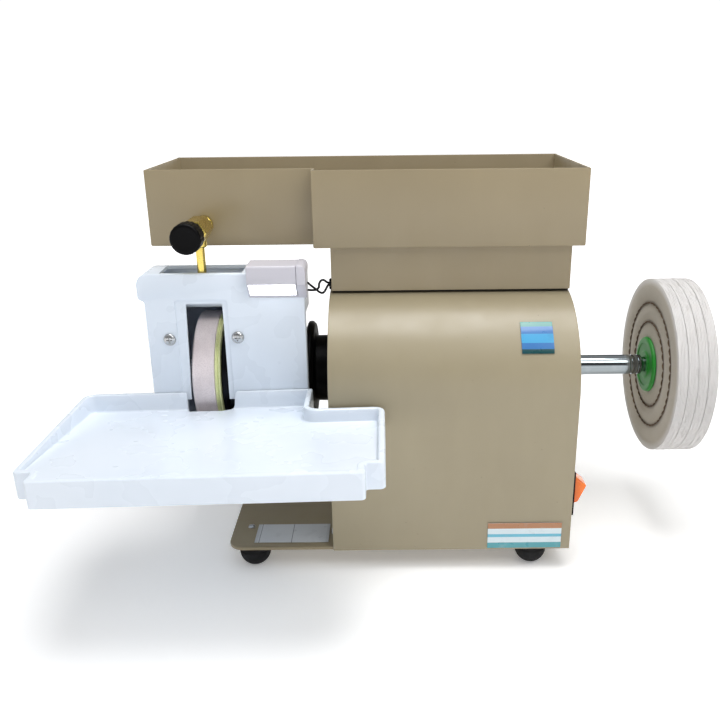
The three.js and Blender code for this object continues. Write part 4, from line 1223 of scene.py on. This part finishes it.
def build_fray(left, right, radius, source):
    """Short loose threads round the buff's worn rim."""
    body = bmesh.new()
    for _ in range(60):
        angle = source.uniform(0, 2 * math.pi)
        place = source.uniform(left + 0.5, right - 0.5)
        length = source.uniform(1.2, 3.2)
        lean = source.uniform(-0.9, 0.9)
        drift = source.uniform(-0.8, 0.8)
        path = []
        for step in range(4):
            t = step / 3
            around = angle + lean * t * t * length / radius
            reach = radius - 1.6 + length * t * (1 - 0.25 * t)
            spoke = Vector((place + drift * t * t * 1.5, math.cos(around) * reach, math.sin(around) * reach))
            path.append(spoke + LINE)
        tube(body, path, [0.13, 0.12, 0.1, 0.05], sides=4)
    add_on(store("buff_fray", body, COTTON), "spindle")


def build_buff_fittings():
    for node, way in (("buff_flange_inner", -1), ("buff_flange_outer", 1)):
        low, high = box_mm(node)
        reach = radius_of(node)
        out, flat = (low.x, high.x) if way < 0 else (high.x, low.x)
        dished = out - way * 0.7
        disc = [
            (ARBOR_BORE, flat), (reach - 0.3, flat), (reach, flat + way * 0.6),
            (reach - 0.6, out - way * 0.6), (reach - 2, out), (reach - 5, out), (reach - 5.8, dished),
            (12, dished), (11, out), (ARBOR_BORE, out),
        ]
        turned(node + "_disc", node, disc, GREEN, corner=0.35)
    low, high = box_mm("buff_nut")
    stand_for(hexagon("buff_nut_hex", 11, low.x, high.x, LINE, "x", PLATED, 1.0, ARBOR_BORE), "buff_nut")


# ---- Motor, switch, gland and badges -----------------------------------------------------------


def build_motor():
    for node, look in (
        ("motor_stator", STACK), ("motor_rotor", STEEL), ("motor_endbell_left", IRON),
        ("motor_endbell_right", IRON), ("bearing_left", CHROME), ("bearing_right", CHROME),
        ("motor_cradle", IRON), ("run_capacitor", ALUMINIUM),
    ):
        refine(node, look, 0.5)


def build_switch():
    refine("switch_body", BLACK, 0.5)
    refine("switch_rocker", ORANGE, 0.6, 3, sharp=24)


def build_gland():
    """The gland's threaded barrel, its collar against the back panel and its gripping nut."""
    low, high = box_mm("cable_gland")
    bore = 4.2
    front, back = low.y, high.y
    panel = front + 12.3
    gland = [
        (bore, front), (8, front), (8, panel), (11, panel), (11, front + 17), (9.4, front + 17.6),
        (9.4, back - 5), (7.6, back - 0.6), (7, back), (bore, back),
    ]
    flutes = 12

    def gripping(angle, reach, place):
        return -0.5 * max(0.0, math.cos(flutes * angle)) if 9 < reach < 9.6 else 0.0

    turned("gland_nut", "cable_gland", gland, BLACK, 120, 0.4, "y", centre_of("cable_gland", "y"), gripping)


def build_badges():
    plate = banded(
        "tag_plate", "tag_face", (196, 198, 200),
        [(0.04, 0.96, (208, 210, 212)), (0.495, 0.505, (120, 122, 126)), (0.055, 0.065, (130, 132, 136))],
        "X", 0.32,
    )
    refine("tag_plate", plate, 0.15)
    low, high = box_mm("tag_screw")
    centre = centre_of("tag_screw", "z")
    centre.z = low.z
    radius, tall = (high.x - low.x) / 2, high.z - low.z
    dome = [(0, 0), (radius, 0), (radius, 0.3), (radius * 0.9, tall * 0.6), (radius * 0.5, tall * 0.93)]
    dome.append((0, tall))
    turned("tag_rivet", "tag_screw", dome, PLATED, 32, 0.3, "z", centre)

    upper = banded(
        "upper_badge", "blue_film", (26, 104, 170),
        [(0.0, 0.16, (20, 70, 74)), (0.36, 0.64, (44, 150, 200)), (0.86, 1.0, (30, 128, 120))], "Z",
    )
    refine("upper_badge", upper, 0.1)
    lower = banded(
        "lower_badge", "banded_film", (206, 220, 226),
        [(0.0, 0.22, (70, 150, 160)), (0.78, 1.0, (168, 116, 78)), (0.44, 0.56, (96, 176, 200))], "Z",
    )
    refine("lower_badge", lower, 0.1)


# ---- The whole scene ---------------------------------------------------------------------------

add_camera()
add_studio()
add_leads()
for build in (
    build_base, build_housing, build_panel_screws, build_tank, build_tap, build_hood, build_chamber,
    build_lamp, build_tray, build_grinding_end, build_arbor, build_buff, build_buff_fittings,
    build_motor, build_switch, build_gland, build_badges,
):
    build()
